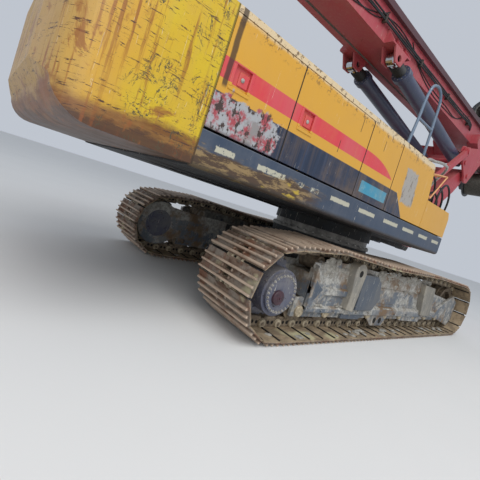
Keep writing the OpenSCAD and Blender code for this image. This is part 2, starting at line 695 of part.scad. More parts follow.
// Boom tower: the two cheeks on the deck that hold the boom's foot and the struts' feet
module boom_tower() color(red) rig() {
    both_sides() across(cheek_y, cheek_y + cheek_t, concat(
        [[nose_x + 10, deck_z + 20], [2300, deck_z + 20]],
        arc(foot, 190, -30, 60, 6), arc(strut_foot, 130, 50, 180, 8), [[nose_x + 10, 1700]]));
    both_sides() block([nose_x + 10, girder_y + girder_t, deck_z + 30],
        [2280, cheek_y + 1, deck_z + 70]);
    both_sides() block([nose_x + 10, girder_y + girder_t, deck_z + 30],
        [nose_x + 50, cheek_y + 1, 1700]);
    bar(foot, pin_main, -cheek_y - cheek_t - 20, cheek_y + cheek_t + 20);
    both_sides() bar(strut_foot, pin_main, cheek_y - 10, strut_y + strut_w + 14);
}

// Boom: a tapered box between its two pins
module boom() color(red) rig() {
    side = concat([for (a = [90:30:270]) beside(foot, knee, 150 * cos(a), 150 * sin(a))],
        [beside(foot, knee, 500, -200), beside(foot, knee, boom_len - 500, -200)],
        [for (a = [-90:30:90]) beside(foot, knee, boom_len + 140 * cos(a), 140 * sin(a))],
        [beside(foot, knee, boom_len - 500, 200), beside(foot, knee, 500, 200)]);
    inner = [beside(foot, knee, 300, -130), beside(foot, knee, 520, -170),
        beside(foot, knee, boom_len - 520, -170), beside(foot, knee, boom_len - 300, -130),
        beside(foot, knee, boom_len - 300, 110), beside(foot, knee, boom_len - 520, 170),
        beside(foot, knee, 520, 170), beside(foot, knee, 300, 120)];
    difference() {
        union() {
            across(-hub_w + 40, hub_w - 40, side);
            for (p = [foot, knee]) bar(p, 130, -hub_w, hub_w);
            both_sides() for (dy = [-75, 75]) across(lcyl_y + dy - 14, lcyl_y + dy + 14,
                [beside(foot, knee, lcyl_along - 260, -180), beside(foot, knee, lcyl_along + 260, -180),
                beside(foot, knee, lcyl_along + 110, -lcyl_drop - 90),
                beside(foot, knee, lcyl_along - 110, -lcyl_drop - 90)]);
        }
        across(-hub_w + 70, hub_w - 70, inner);
        for (p = [foot, knee]) bar(p, pin_main + run, -800, 800);
        bar(lcyl_eye, pin_main + run, -800, 800);
    }
}

// Struts: the upper pair of links
module struts() color(red) rig() both_sides() difference() {
    union() {
        across(strut_y, strut_y + strut_w, [beside(strut_foot, strut_head, 0, -62),
            beside(strut_foot, strut_head, boom_len, -62), beside(strut_foot, strut_head, boom_len, 62),
            beside(strut_foot, strut_head, 0, 62)]);
        for (p = [strut_foot, strut_head]) bar(p, 100, strut_y, strut_y + strut_w);
    }
    for (p = [strut_foot, strut_head]) bar(p, pin_main + run, 0, 900);
}

// Triangle: the two cheeks that join boom, struts, mast and the mast cylinders' feet
module triangle() color(red) rig() {
    both_sides() across(cheek_y, cheek_y + cheek_t, concat(
        arc(knee, 170, 200, 330, 6), arc(mast_pin, 150, -30, 100, 6),
        arc(strut_head, 125, 60, 220, 6)));
    for (p = [knee, mast_pin, mcyl_base])
        bar(p, pin_main, -cheek_y - cheek_t - 20, cheek_y + cheek_t + 20);
    both_sides() bar(strut_head, pin_main, cheek_y - 6, strut_y + strut_w + 14);
    bar(beside(knee, mast_pin, norm(mast_pin - knee) / 2, brace_r + 20), brace_r,
        -cheek_y - 1, cheek_y + 1);
}

// A pair of cylinders between base and eye: barrels with feet
module barrels(base, eye, y, r, eye_w, closed) both_sides() difference() {
    union() {
        shaft(base, eye, r, y, 150, closed);
        shaft(base, eye, r + 8, y, closed - 90, closed);
        bar(base, pin_main + 50, y - eye_w / 2, y + eye_w / 2);
        shaft(base, eye, pin_main + 30, y, 60, 160);
    }
    shaft(base, eye, r - 22, y, 200, closed - 60);
    shaft(base, eye, r * 0.62 + run, y, closed - 90, closed + 10);
    bar(base, pin_main + run, 0, 900);
}
// The rods of such a pair with their eyes and the short pins in them
module rods(base, eye, y, r, eye_w, inside) both_sides() {
    full = norm(eye - base);
    shaft(base, eye, r * 0.62, y, inside + 80, full - 40);
    shaft(base, eye, r - 22 - run, y, inside, inside + 100);
    bar(eye, pin_main + 45, y - eye_w / 2, y + eye_w / 2);
}
mcyl_closed = norm(mcyl_eye - mcyl_base) - 340;
lcyl_closed = norm(lcyl_eye - lcyl_base) - 380;
module mast_barrels() color(dark) rig()
    barrels(mcyl_base, mcyl_eye, mcyl_y, mcyl_r, 150, mcyl_closed);
module mast_rods() color(steel) rig()
    rods(mcyl_base, mcyl_eye, mcyl_y, mcyl_r, 110, 240);
module luff_barrels() color(dark) rig()
    barrels(lcyl_base, lcyl_eye, lcyl_y, lcyl_r, 110, lcyl_closed);
module luff_rods() color(steel) rig()
    rods(lcyl_base, lcyl_eye, lcyl_y, lcyl_r, 100, 400);

// One length of the mast: a box with two rails on its front
module mast_box(x0, x1) {
    difference() {
        union() {
            block([x0, -mast_y, mast_bot], [x1, mast_y, mast_top]);
            both_sides() block([x0, rail_y - rail_w, mast_top - 1], [x1, rail_y, rail_z]);
        }
        block([x0 + 40, -mast_y + mast_t, mast_bot + mast_t], [x1 - 40, mast_y - mast_t,
            mast_top - mast_t]);
        both_sides() block([x0 - 1, rail_y - rail_w + 20, mast_top + 20], [x1 + 1, rail_y - 20,
            rail_z - 22]);
    }
}
lug_dy = 105;
module mast_lower() color(red) rig() {
    difference() {
        union() {
            mast_box(mast_x - mast_joint, mast_foot_x);
            both_sides() across(mast_y - 60, hub_w - 4, [[mast_x - 420, mast_bot + 200],
                [mast_x - 420, mast_bot - 20], each arc(mast_pin, 150, 200, 340, 6),
                [mast_x + 420, mast_bot - 20], [mast_x + 420, mast_bot + 200]]);
            both_sides() for (dy = [-lug_dy, lug_dy])
                across(mcyl_y + dy - 15, mcyl_y + dy + 15, [[mcyl_eye[0] - 200, mast_bot + 1],
                    [mcyl_eye[0] - 90, mcyl_eye[1] - 90], [mcyl_eye[0] + 90, mcyl_eye[1] - 90],
                    [mcyl_eye[0] + 200, mast_bot + 1]]);
            both_sides() for (x = [mcyl_eye[0] - 300, mcyl_eye[0] - 15, mcyl_eye[0] + 270])
                translate([x, 0, 0]) rotate([90, 0, 90]) linear_extrude(30)
                    polygon([[mast_y - 1, mast_bot], [mcyl_y + lug_dy + 15, mast_bot],
                        [mcyl_y + lug_dy + 15, mast_bot + 40], [mast_y - 1, mast_bot + 240]]);
            both_sides() block([mcyl_eye[0] - 300, mast_y - 1, mast_bot],
                [mcyl_eye[0] + 300, mcyl_y + lug_dy + 15, mast_bot + 24]);
        }
        bar(mast_pin, pin_main + run, -800, 800);
        bar(mcyl_eye, pin_main + run, -800, 800);
    }
}
module mast_upper() color(red) rig() mast_box(mast_end_x, mast_x - mast_joint);

// Head frame: two cheeks that carry the rope sheaves
sheave_r = 290;
sheave_front = [mast_end_x - head_len + 310, kelly_z - sheave_r];
sheave_rear = [mast_end_x - head_len + 310, mast_bot + 40];
module mast_head() color(red) rig() {
    difference() {
        for (s = [-1, 1]) across(s * 130 - 15, s * 130 + 15, [[mast_end_x, mast_bot],
            [mast_end_x - head_len, mast_bot - 60], [mast_end_x - head_len, kelly_z + 20],
            [mast_end_x - 250, kelly_z + 20], [mast_end_x, mast_top]]);
        for (p = [sheave_front, sheave_rear]) bar(p, 45 + run, -300, 300);
    }
    block([mast_end_x - 40, -mast_y, mast_bot], [mast_end_x, mast_y, mast_top]);
    for (x = [mast_end_x - 220]) block([x, -140, mast_top - 60], [x + 30, 140, mast_top + 200]);
}
module head_sheaves() color(dark) rig() for (p = [sheave_front, sheave_rear]) {
    bar(p, sheave_r, -40, 40);
    bar(p, 45, -190, 190);
}

// Crowd cylinder on the mast's front
crowd_gland = carriage_x - crowd_stroke - 120;
module crowd_barrel() color(dark) rig() difference() {
    union() {
        translate([crowd_gland - crowd_stroke - 500, 0, mast_top + crowd_r + 40]) rotate([0, 90, 0])
            cylinder(h = crowd_stroke + 500, r = crowd_r, $fn = 48);
        for (x = [crowd_gland - crowd_stroke - 400, crowd_gland - 2200, crowd_gland - 300])
            block([x, -120, mast_top], [x + 90, 120, mast_top + crowd_r + 40]);
    }
    translate([crowd_gland - crowd_stroke - 400, 0, mast_top + crowd_r + 40]) rotate([0, 90, 0])
        cylinder(h = crowd_stroke + 500, r = crowd_rod_r + run, $fn = 48);
}

// Carriage: slides on the rails, with the crowd rod fused to it
drive_x = carriage_x + 450;
sleeve_x0 = drive_x - sleeve_back;
arm_y = 310;
module carriage() color(red) rig() {
    x1 = carriage_x + carriage_len;
    both_sides() {
        block([carriage_x, rail_y + run, mast_top + 10], [x1, rail_y + 60, rail_z + 60]);
        block([carriage_x, mast_y + run, mast_top - 50], [x1, rail_y + 60, mast_top - run - 1]);
        block([carriage_x, rail_y + 20, mast_top - 50], [x1, rail_y + 60, mast_top + 20]);
    }
    block([carriage_x, -rail_y - 60, rail_z + run], [x1, rail_y + 60, rail_z + 60]);
    both_sides() across(arm_y, arm_y + 40, [[drive_x + 180, rail_z + 50],
        [drive_x + 180, kelly_z + 60], [drive_x + 680, kelly_z + 60], [drive_x + 1050, rail_z + 50]]);
    block([carriage_x, -60, mast_top + crowd_r - 20], [carriage_x + 60, 60, rail_z + 30]);
    translate([crowd_gland - 280, 0, mast_top + crowd_r + 40]) rotate([0, 90, 0])
        cylinder(h = carriage_x - crowd_gland + 300, r = crowd_rod_r, $fn = 48);
}

// Rotary drive: gearbox round the kelly axis with its motors
module rotary_drive() color(blue) rig() translate([drive_x, 0, kelly_z]) rotate([0, 90, 0])
    difference() {
        union() {
            cylinder(h = 700, r = arm_y - 8, $fn = 64);
            translate([-150, -arm_y, 200]) cube([200, 2 * arm_y, 460]);
            cylinder(h = 160, r = 420, $fn = 64);
            for (a = [60, 180, 300]) rotate(a) translate([sleeve_r + 110, 0, -420]) {
                cylinder(h = 425, r = 85, $fn = 48);
                translate([0, 0, -140]) cylinder(h = 150, r = 62, $fn = 32);
            }
        }
        translate([0, 0, -10]) cylinder(h = 720, r = sleeve_r + run, $fn = 64);
    }
module drive_sleeve() color(steel) rig() translate([drive_x, 0, kelly_z]) rotate([0, 90, 0])
    difference() {
        union() {
            translate([0, 0, -sleeve_back]) cylinder(h = sleeve_len, r = sleeve_r, $fn = 64);
            translate([0, 0, sleeve_len - sleeve_back - 60]) cylinder(h = 60, r = flange_pcd / 2 + 40,
                $fn = 64);
        }
        translate([0, 0, -sleeve_back - 10]) cylinder(h = sleeve_len + 20, r = sleeve_bore, $fn = 64);
        for (i = [0:flange_count - 1]) rotate(i * 360 / flange_count)
            translate([flange_pcd / 2, 0, sleeve_len - sleeve_back - 70])
            cylinder(h = 80, r = flange_hole_r, $fn = 24);
    }

// A winch on the mast's rear: cheeks, drum and drive
module winch(x, r_drum, r_flange, w) {
    p = [x, mast_bot - r_flange - 40];
    for (s = [-1, 1]) across(s * w - 15, s * w + 15, [[x - r_flange, mast_bot],
        [x - r_flange * 0.5, p[1] - r_flange * 0.6], [x + r_flange * 0.5, p[1] - r_flange * 0.6],
        [x + r_flange, mast_bot]]);
    bar(p, r_drum, -w, w);
    for (s = [-1, 1]) bar(p, r_flange, s * (w - 50) - 12, s * (w - 50) + 12);
    bar(p, r_drum * 0.7, w, w + 110);
}
module main_winch() color(dark) rig() winch(mast_x + 2080, 290, 390, 320);
module aux_winch() color(dark) rig() winch(mast_x + 2880, 180, 250, 260);

carbody();
slew_ring();
track_frame_right();
track_frame_left();
rollers_right();
rollers_left();
sprocket_right();
sprocket_left();
idler_right();
idler_left();
track_right();
track_left();
deck();
skirts();
counterweight();
engine();
door_right_rear();
door_right_front();
tank_housing();
front_box();
door_left_rear();
housing_left();
hood();
cab_shell();
cab_glass();
cab_door();
cab_seat();
handrails();
boom_tower();
boom();
struts();
triangle();
luff_barrels();
luff_rods();
mast_barrels();
mast_rods();
mast_lower();
mast_upper();
mast_head();
head_sheaves();
crowd_barrel();
carriage();
rotary_drive();
drive_sleeve();
main_winch();
aux_winch();
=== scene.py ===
# %% [markdown]
# A rotary piling rig, dressed for a studio picture. The CAD frame gives every rigid piece at its real place, so this
# lesson only adds what a frame lacks: finishes, track shoes, bolts, hoses, ropes and small fittings. Everything is in
# metres, X forward, Y left, Z up.

# %% Load the frame
import json
import math
import random

import bmesh
import bpy
from mathutils import Matrix, Vector


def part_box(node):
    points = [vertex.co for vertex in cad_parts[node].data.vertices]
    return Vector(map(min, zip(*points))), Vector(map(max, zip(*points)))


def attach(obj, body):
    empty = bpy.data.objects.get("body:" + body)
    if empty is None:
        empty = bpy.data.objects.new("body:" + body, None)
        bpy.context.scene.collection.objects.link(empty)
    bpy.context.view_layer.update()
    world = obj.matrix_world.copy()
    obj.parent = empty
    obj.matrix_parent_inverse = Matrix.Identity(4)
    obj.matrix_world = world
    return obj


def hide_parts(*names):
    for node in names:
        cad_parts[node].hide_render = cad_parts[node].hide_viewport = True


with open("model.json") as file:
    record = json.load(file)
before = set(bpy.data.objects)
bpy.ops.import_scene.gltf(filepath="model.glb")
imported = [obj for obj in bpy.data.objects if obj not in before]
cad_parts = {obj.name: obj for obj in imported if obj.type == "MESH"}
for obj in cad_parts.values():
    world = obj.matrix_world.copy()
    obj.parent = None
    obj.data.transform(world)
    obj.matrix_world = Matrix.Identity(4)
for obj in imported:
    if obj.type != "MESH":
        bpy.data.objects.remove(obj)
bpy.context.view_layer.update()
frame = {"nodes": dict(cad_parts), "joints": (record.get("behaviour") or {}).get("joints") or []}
nodes = frame["nodes"]
slew_x = next(j["pos_m"][0] for j in frame["joints"] if j["name"] == "slew")
print("frame", len(nodes), "nodes; slew axis at", slew_x)

# %% [markdown]
# The camera repeats the photograph's viewing angle: low behind the right track and rolled to the left. Its place, turn
# and lens come from straight edges of the rig. A constraint could aim it, but three angles keep the roll exact.

# %% Camera
view_yaw, view_pitch, view_roll = (math.radians(a) for a in (50.2104, -1.9915, 17.6415))
picture_side, focal_length, centre_rise = 480, 334.545, -26.5
camera_data = bpy.data.cameras.new("camera")
camera_data.sensor_width = 36
camera_data.lens = focal_length * camera_data.sensor_width / picture_side
camera_data.shift_y = centre_rise / picture_side
camera = bpy.data.objects.new("camera", camera_data)
camera.matrix_world = Matrix.Translation((slew_x - 4.8, -3.551, 1.169)) @ Matrix.Rotation(
    view_yaw - math.pi / 2, 4, "Z") @ Matrix.Rotation(view_pitch + math.pi / 2, 4, "X") @ Matrix.Rotation(
    view_roll, 4, "Z")
bpy.context.scene.collection.objects.link(camera)
bpy.context.scene.camera = camera
print("camera at", [round(c, 2) for c in camera.location], "lens", round(camera_data.lens, 2))

# %% [markdown]
# Each piece is built in a bmesh and becomes one object at the origin, so that patterns on Object coordinates stay put.
# These helpers wrap the bmesh operators used again and again.

# %% Helpers for shapes
Y_AXIS, Z_AXIS = Vector((0, 1, 0)), Vector((0, 0, 1))
SIDES = (("right", -1), ("left", 1))


def middle(node):
    return sum(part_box(node), Vector()) / 2


def outer_face(node):
    """How far a node reaches to the side."""
    return max(abs(corner.y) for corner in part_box(node))


def link_object(name, data):
    made = bpy.data.objects.new(name, data)
    bpy.context.scene.collection.objects.link(made)
    return made


def to_mesh(name, bm, *materials):
    mesh = bpy.data.meshes.new(name)
    bm.to_mesh(mesh)
    bm.free()
    for material in materials:
        mesh.materials.append(material)
    return mesh


def make_piece(name, bm, body, *materials, smooth_angle=35, node=None):
    """Turns a bmesh into an object that rides on a body."""
    mesh = to_mesh(name, bm, *materials)
    mesh.shade_smooth()
    mesh.set_sharp_from_angle(angle=math.radians(smooth_angle))
    piece = link_object(name, mesh)
    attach(piece, body)
    if node:
        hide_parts(node)
    print(name, len(mesh.polygons), "faces")
    return piece


def finish_part(bm, verts, index, edge, segments=1, rims_only=False):
    """Gives the faces at some vertices a material and bevels their edges, or only those round an end cap."""
    for face in {f for v in verts for f in v.link_faces}:
        face.material_index = index
    if edge:
        edges = [e for e in {e for v in verts for e in v.link_edges}
                 if not rims_only or any(len(f.verts) > 4 for f in e.link_faces)]
        bmesh.ops.bevel(bm, geom=edges, offset=edge, offset_type="OFFSET", segments=segments, profile=0.5,
                        affect="EDGES", material=-1, clamp_overlap=True)


def add_box(bm, low, high, edge=0.0, index=0):
    low, high = Vector(low), Vector(high)
    place = Matrix.Translation((low + high) / 2) @ Matrix.Diagonal((*(high - low), 1))
    finish_part(bm, bmesh.ops.create_cube(bm, size=1, matrix=place)["verts"], index, edge)


def turn_to(axis):
    """A matrix that turns the Z axis to an axis."""
    return Vector(axis).to_track_quat("Z", "Y").to_matrix().to_4x4()


def add_rod(bm, start, end, radius, sides=20, end_radius=None, edge=0.0, index=0):
    start, end = Vector(start), Vector(end)
    verts = bmesh.ops.create_cone(
        bm, cap_ends=True, segments=sides, radius1=radius, radius2=radius if end_radius is None else end_radius,
        depth=(end - start).length, matrix=Matrix.Translation((start + end) / 2) @ turn_to(end - start))["verts"]
    finish_part(bm, verts, index, edge, 2, True)


def add_boxes(bm, at, *rows):
    """Boxes given from a point: two corners, then what else add_box takes."""
    for low, high, *rest in rows:
        add_box(bm, at + Vector(low), at + Vector(high), *rest)


def add_rods(bm, at, *rows):
    """Rods given from a point: two ends, then what else add_rod takes."""
    for start, end, *rest in rows:
        add_rod(bm, at + Vector(start), at + Vector(end), *rest)


def add_bolt(bm, at, axis, size=0.018, index=0):
    """A washer and a hexagon head at a point, standing out along an axis."""
    at, axis = Vector(at), Vector(axis).normalized()
    add_rod(bm, at - axis * 0.004, at + axis * size * 0.16, size * 0.75, 12, index=index)
    add_rod(bm, at, at + axis * size * 0.75, size * 0.52, 6, size * 0.48, index=index)


def add_prism(bm, corners, step, edge=0.0, index=0):
    """A flat outline pushed along a vector."""
    face = bm.faces.new([bm.verts.new(c) for c in corners])
    made = bmesh.ops.extrude_face_region(bm, geom=[face])["geom"]
    verts = [v for v in made if isinstance(v, bmesh.types.BMVert)]
    bmesh.ops.translate(bm, verts=verts, vec=step)
    verts += list(face.verts)
    bmesh.ops.recalc_face_normals(bm, faces=list({f for v in verts for f in v.link_faces}))
    finish_part(bm, verts, index, edge)


def add_plate(bm, outline, y0, y1, edge=0.0, index=0):
    """A side-view outline of (x, z) points, pushed across from y0 to y1."""
    add_prism(bm, [(x, y0, z) for x, z in outline], (0, y1 - y0, 0), edge, index)


def circle_points(radius, angles):
    return [(radius * math.cos(a), radius * math.sin(a)) for a in angles]


def arc_points(centre, radius, first, last, steps=10):
    """Points on an arc, as pairs, with angles in degrees."""
    angles = [math.radians(first + (last - first) * i / steps) for i in range(steps + 1)]
    return [(centre[0] + a, centre[1] + b) for a, b in circle_points(radius, angles)]


def add_bolt_ring(bm, centre, radius, count, axis, size=0.018, index=0):
    """Bolts evenly round a circle about an axis."""
    angles = [2 * math.pi * i / count for i in range(count)]
    for a, b in circle_points(radius, angles):
        add_bolt(bm, Vector(centre) + turn_to(axis) @ Vector((a, b, 0)), axis, size, index)


def add_turned(bm, profile, centre, axis, sides=32, index=0):
    """A profile of (radius, height) pairs spun about an axis through a point."""
    verts = [bm.verts.new((r, 0, h)) for r, h in profile]
    edges = [bm.edges.new(pair) for pair in zip(verts, verts[1:])]
    bmesh.ops.spin(bm, geom=verts + edges, axis=Z_AXIS, cent=(0, 0, 0), steps=sides, angle=2 * math.pi,
                   use_merge=True, use_duplicate=False)
    island = set(verts)
    while grown := {v for u in island for e in u.link_edges for v in e.verts} - island:
        island |= grown
    bmesh.ops.remove_doubles(bm, verts=list(island), dist=1e-6)
    island = [v for v in island if v.is_valid]
    bmesh.ops.recalc_face_normals(bm, faces=list({f for v in island for f in v.link_faces}))
    bmesh.ops.transform(bm, matrix=Matrix.Translation(centre) @ turn_to(axis), verts=island)
    finish_part(bm, island, index, 0)


def make_line(name, runs, radius, material, body, bend=6):
    """Round hoses or ropes: one curve object with a spline for each run of points."""
    curve = bpy.data.curves.new(name, "CURVE")
    curve.dimensions = "3D"
    curve.bevel_depth = radius
    curve.bevel_resolution = 2
    curve.resolution_u = bend
    curve.use_fill_caps = True
    for run in runs:
        spline = curve.splines.new("BEZIER")
        spline.bezier_points.add(len(run) - 1)
        for point, place in zip(spline.bezier_points, run):
            point.co = place
            point.handle_left_type = point.handle_right_type = "AUTO"
    curve.materials.append(material)
    line = link_object(name, curve)
    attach(line, body)
    print(name, len(runs), "runs")
    return line


# %% [markdown]
# A worn machine needs the same few layers in each finish: a coat, streaks, chips, rust, dust and a bump. One small
# class keeps the node trees short. Patterns read Object coordinates in metres, so a size in a call is a real size.

# %% Helpers for finishes
def tint(code):
    """A colour code as linear light."""
    parts = [int(code[i:i + 2], 16) / 255 for i in (1, 3, 5)]
    return [c / 12.92 if c <= 0.04045 else ((c + 0.055) / 1.055) ** 2.4 for c in parts] + [1]


class Finish:
    """A material of procedural nodes. Its x runs along the rig from the slew axis."""

    def __init__(self, name, metal=0.0):
        self.material = bpy.data.materials.new(name)
        self.material.use_nodes = True
        self.tree = self.material.node_tree
        self.shader = self.tree.nodes["Principled BSDF"]
        self.shader.inputs["Metallic"].default_value = metal
        coordinates = self.add("ShaderNodeTexCoord")
        self.place = coordinates.outputs["Object"]
        x, self.y, self.z = self.add("ShaderNodeSeparateXYZ", Vector=self.place).outputs
        self.x = self.minus(x, slew_x)
        self.facing_up = self.add("ShaderNodeSeparateXYZ", Vector=coordinates.outputs["Normal"]).outputs["Z"]

    def add(self, kind, settings=(), **inputs):
        node = self.tree.nodes.new(kind)
        for key, value in dict(settings).items():
            setattr(node, key, value)
        for key, value in inputs.items():
            self.put(node.inputs[key.replace("_", " ")], value)
        return node

    def put(self, socket, value):
        if isinstance(value, bpy.types.NodeSocket):
            self.tree.links.new(value, socket)
        else:
            socket.default_value = value

    def math(self, operation, a, b=0.0, clamp=False):
        node = self.add("ShaderNodeMath", {"operation": operation, "use_clamp": clamp})
        self.put(node.inputs[0], a)
        self.put(node.inputs[1], b)
        return node.outputs[0]

    def plus(self, a, b, clamp=False):
        return self.math("ADD", a, b, clamp)

    def minus(self, a, b):
        return self.math("SUBTRACT", a, b)

    def times(self, a, b):
        return self.math("MULTIPLY", a, b)

    def above(self, value, edge, soft):
        """1 where the value is above an edge, 0 below it."""
        node = self.add("ShaderNodeMapRange", {"interpolation_type": "SMOOTHSTEP"}, Value=value)
        moving = isinstance(edge, bpy.types.NodeSocket)
        self.put(node.inputs["From Min"], self.minus(edge, soft) if moving else edge - soft)
        self.put(node.inputs["From Max"], self.plus(edge, soft) if moving else edge + soft)
        return node.outputs["Result"]

    def below(self, value, edge, soft):
        return self.minus(1.0, self.above(value, edge, soft))

    def both(self, first, *masks):
        for mask in masks:
            first = self.times(first, mask)
        return first

    def either(self, a, b):
        return self.math("MAXIMUM", a, b)

    def between(self, value, low, high, soft):
        return self.both(self.above(value, low, soft), self.below(value, high, soft))

    def on_right(self):
        return self.below(self.y, 0.0, 0.1)

    def noise(self, size, detail, rough=0.6, stretch=(1, 1, 1), warp=0.0, seed=0.0):
        mapping = self.add("ShaderNodeMapping", Vector=self.place)
        mapping.inputs["Scale"].default_value = [1 / (size * s) for s in stretch]
        mapping.inputs["Location"].default_value = (seed, seed * 1.7, seed * 0.6)
        return self.add("ShaderNodeTexNoise", Vector=mapping.outputs[0], Scale=1.0, Detail=detail, Roughness=rough,
                        Distortion=warp).outputs["Fac"]

    def spots(self, edge, soft, *noise, **more):
        """1 where a noise is above an edge."""
        return self.above(self.noise(*noise, **more), edge, soft)

    def ragged(self, depth, *noise, **more):
        """A noise round zero that frays the edge of a mask."""
        return self.times(self.minus(self.noise(*noise, **more), 0.5), depth)

    def mix(self, mask, a, b):
        node = self.add("ShaderNodeMix", {"data_type": "RGBA"})
        for socket, value in ((node.inputs[0], mask), (node.inputs[6], a), (node.inputs[7], b)):
            self.put(socket, tint(value) if isinstance(value, str) else value)
        return node.outputs[2]

    def lay(self, layer, *masks):
        """A new layer where all masks meet; a plain number among them thins it."""
        self.colour = self.mix(self.both(*masks), self.colour, layer)

    def done(self, rough, height=None, depth=0.002):
        self.put(self.shader.inputs["Base Color"], self.colour)
        self.put(self.shader.inputs["Roughness"], rough)
        if height is not None:
            bump = self.add("ShaderNodeBump", Height=height, Distance=depth)
            self.put(self.shader.inputs["Normal"], bump.outputs[0])
        return self.material


# %% [markdown]
# The paint of a site machine is never one colour. It fades, runs in vertical streaks, and chips down to primer and
# rust. One function lays these over any coat that a panel passes in.

# %% Worn paint
def worn_paint(name, coat, chips, streaks, dust, dust_amount, gloss, seed, chip_size=0.05, chip_colour="#3b3a3a",
               rust="#7a4324", scratches=0.685, extra=None):
    f = Finish(name)
    if callable(coat):
        coat(f)
    else:
        f.colour = f.mix(f.noise(0.9, 3, seed=seed), *coat)
    f.lay(dust, f.spots(0.58, 0.12, 0.5, 4, 0.65, (0.09, 0.09, 2.5), seed=seed + 3), streaks)
    dirt = f.noise(0.35, 6, 0.7, seed=seed + 5)
    lying = f.both(f.above(f.facing_up, 0.55, 0.3), 0.55, f.above(dirt, 0.35, 0.2))
    dusty = f.either(f.times(f.above(dirt, 0.56, 0.16), dust_amount), lying)
    f.lay(dust, dusty)
    f.lay("#d9d2c2", f.spots(scratches, 0.012, 0.3, 3, 0.5, (0.05, 0.05, 0.9), 1.5, seed + 9), 0.7)
    spots = f.noise(chip_size, 7, 0.68, (1.5, 1.5, 0.8), 0.6, seed + 12)
    ring, hole = f.above(spots, chips - 0.012, 0.008), f.above(spots, chips + 0.012, 0.008)
    f.lay(rust, ring, 0.85)
    f.lay(chip_colour, hole)
    if extra:
        extra(f)
    height = f.minus(f.times(f.noise(0.012, 3, 0.5, seed=seed), 0.12), f.times(hole, 0.5))
    rough = f.plus(f.times(f.either(dusty, ring), 0.35), f.times(dirt, 0.2), True)
    return f.done(f.plus(rough, gloss - 0.1, True), height, 0.004)


# %% [markdown]
# The side panels carry a red stripe and a dark blue band on amber yellow, and the rear door is scraped to pale primer.
# The masks are plain height and length tests with edges frayed by noise, as sprayed and scuffed edges look.

# %% Panels
amber = ("#d7a12c", "#ca963c")
stripe_low, stripe_high, band_top, roof_edge, door_foot = 1.948, 2.084, 1.853, 2.404, 1.58
tank_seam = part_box("tank_housing")[0].x - slew_x
# Dark joints and slots on the right side: place, lowest and highest point, half width
panel_lines = [(-2.876, door_foot, 2.402, 0.006), (-1.7, door_foot, 2.402, 0.006),
               (-0.986, door_foot, 2.402, 0.006), (-2.161, 1.908, 2.026, 0.004), (-1.38, 2.183, 2.298, 0.004),
               (-1.897, 2.21, 2.354, 0.004)]


def panel_coat(f):
    """Amber with a bleached edge, the red stripe with its curved end, the dark band and the blank plate."""
    f.colour = f.mix(f.noise(1.1, 4, 0.6, seed=2), *amber)
    frayed = f.plus(f.z, f.times(f.noise(0.25, 6, 0.7, (2, 2, 1)), 0.12))
    f.lay("#d6c3a0", f.above(frayed, roof_edge + 0.045, 0.02), 0.92)
    f.lay("#5b4430", f.above(f.z, roof_edge - 0.07, 0.05), f.spots(0.57, 0.02, 0.05, 5, 0.7, seed=44), 0.8)
    bend = f.math("POWER", f.math("MAXIMUM", f.math("DIVIDE", f.minus(f.x, tank_seam), 0.7), 0.0), 2.6)
    top = f.minus(stripe_high + 0.012, f.times(bend, 0.155))
    red = f.mix(f.spots(0.55, 0.2, 0.8, 4, 0.6, (0.5, 0.5, 1.5), seed=8), "#cf3a44", "#cb5058")
    f.lay(red, f.above(f.z, stripe_low, 0.002), f.below(f.z, top, 0.002), f.below(f.x, tank_seam + 0.71, 0.01),
          f.on_right())
    end = f.plus(tank_seam + 0.9, f.times(f.minus(band_top, f.z), 1.1))
    streaked = f.times(f.spots(0.56, 0.14, 0.9, 5, 0.6, (0.05, 0.05, 1.6), seed=4), 0.5)
    f.lay(f.mix(streaked, "#1f2b41", "#3a4760"), f.below(f.z, band_top, 0.003), f.below(f.x, end, 0.003))
    plate = f.mix(f.spots(0.56, 0.05, 0.1, 6, 0.7, seed=46), "#2f8fae", "#5f9fb3")
    f.lay(plate, f.between(f.x, tank_seam + 0.094, tank_seam + 0.674, 0.002), f.between(f.z, 1.66, 1.785, 0.002),
          f.on_right(), 0.92)


def scraped_door(f):
    """The rear door rubbed down to primer, a drip, a smear of filler, and the joints between the panels."""
    frayed = f.ragged(0.3, 0.16, 6, 0.7, seed=21)
    bare = f.mix(f.spots(0.5, 0.06, 0.12, 6, 0.7, seed=23), "#a3a4a6", "#a3484f")
    bare = f.mix(f.spots(0.56, 0.04, 0.3, 4, 0.65, seed=25), bare, "#8b8684")
    bare = f.mix(f.spots(0.55, 0.02, 0.06, 7, 0.72, (1, 1, 1.6), seed=27), bare, "#43342f")
    f.lay(bare, f.below(f.plus(f.z, frayed), 1.87, 0.012), f.above(f.z, 1.6, 0.02),
          f.below(f.plus(f.x, frayed), -2.95, 0.012), f.on_right())
    wavy = f.plus(f.x, f.times(f.noise(0.2, 4, seed=29), 0.03))
    f.lay("#3a2a22", f.between(wavy, -3.59, -3.545, 0.006), f.above(f.z, 1.9, 0.02), f.on_right(), 0.85)
    frayed = f.ragged(0.16, 0.12, 5, 0.65, seed=31)
    leaning = f.plus(f.plus(f.x, f.times(f.z, 0.15)), frayed)
    filler = f.mix(f.spots(0.58, 0.02, 0.08, 6, 0.7, (0.6, 0.6, 1.8), seed=33), "#9d9c99", "#6f6c68")
    f.lay(filler, f.between(leaning, -0.41, -0.06, 0.012), f.between(f.plus(f.z, frayed), 1.77, 2.2, 0.015),
          f.on_right(), 0.92)
    for x, bottom, top, half in panel_lines:
        f.lay("#17130f", f.between(f.x, x - half, x + half, 0.001), f.between(f.z, bottom, top, 0.002), f.on_right())


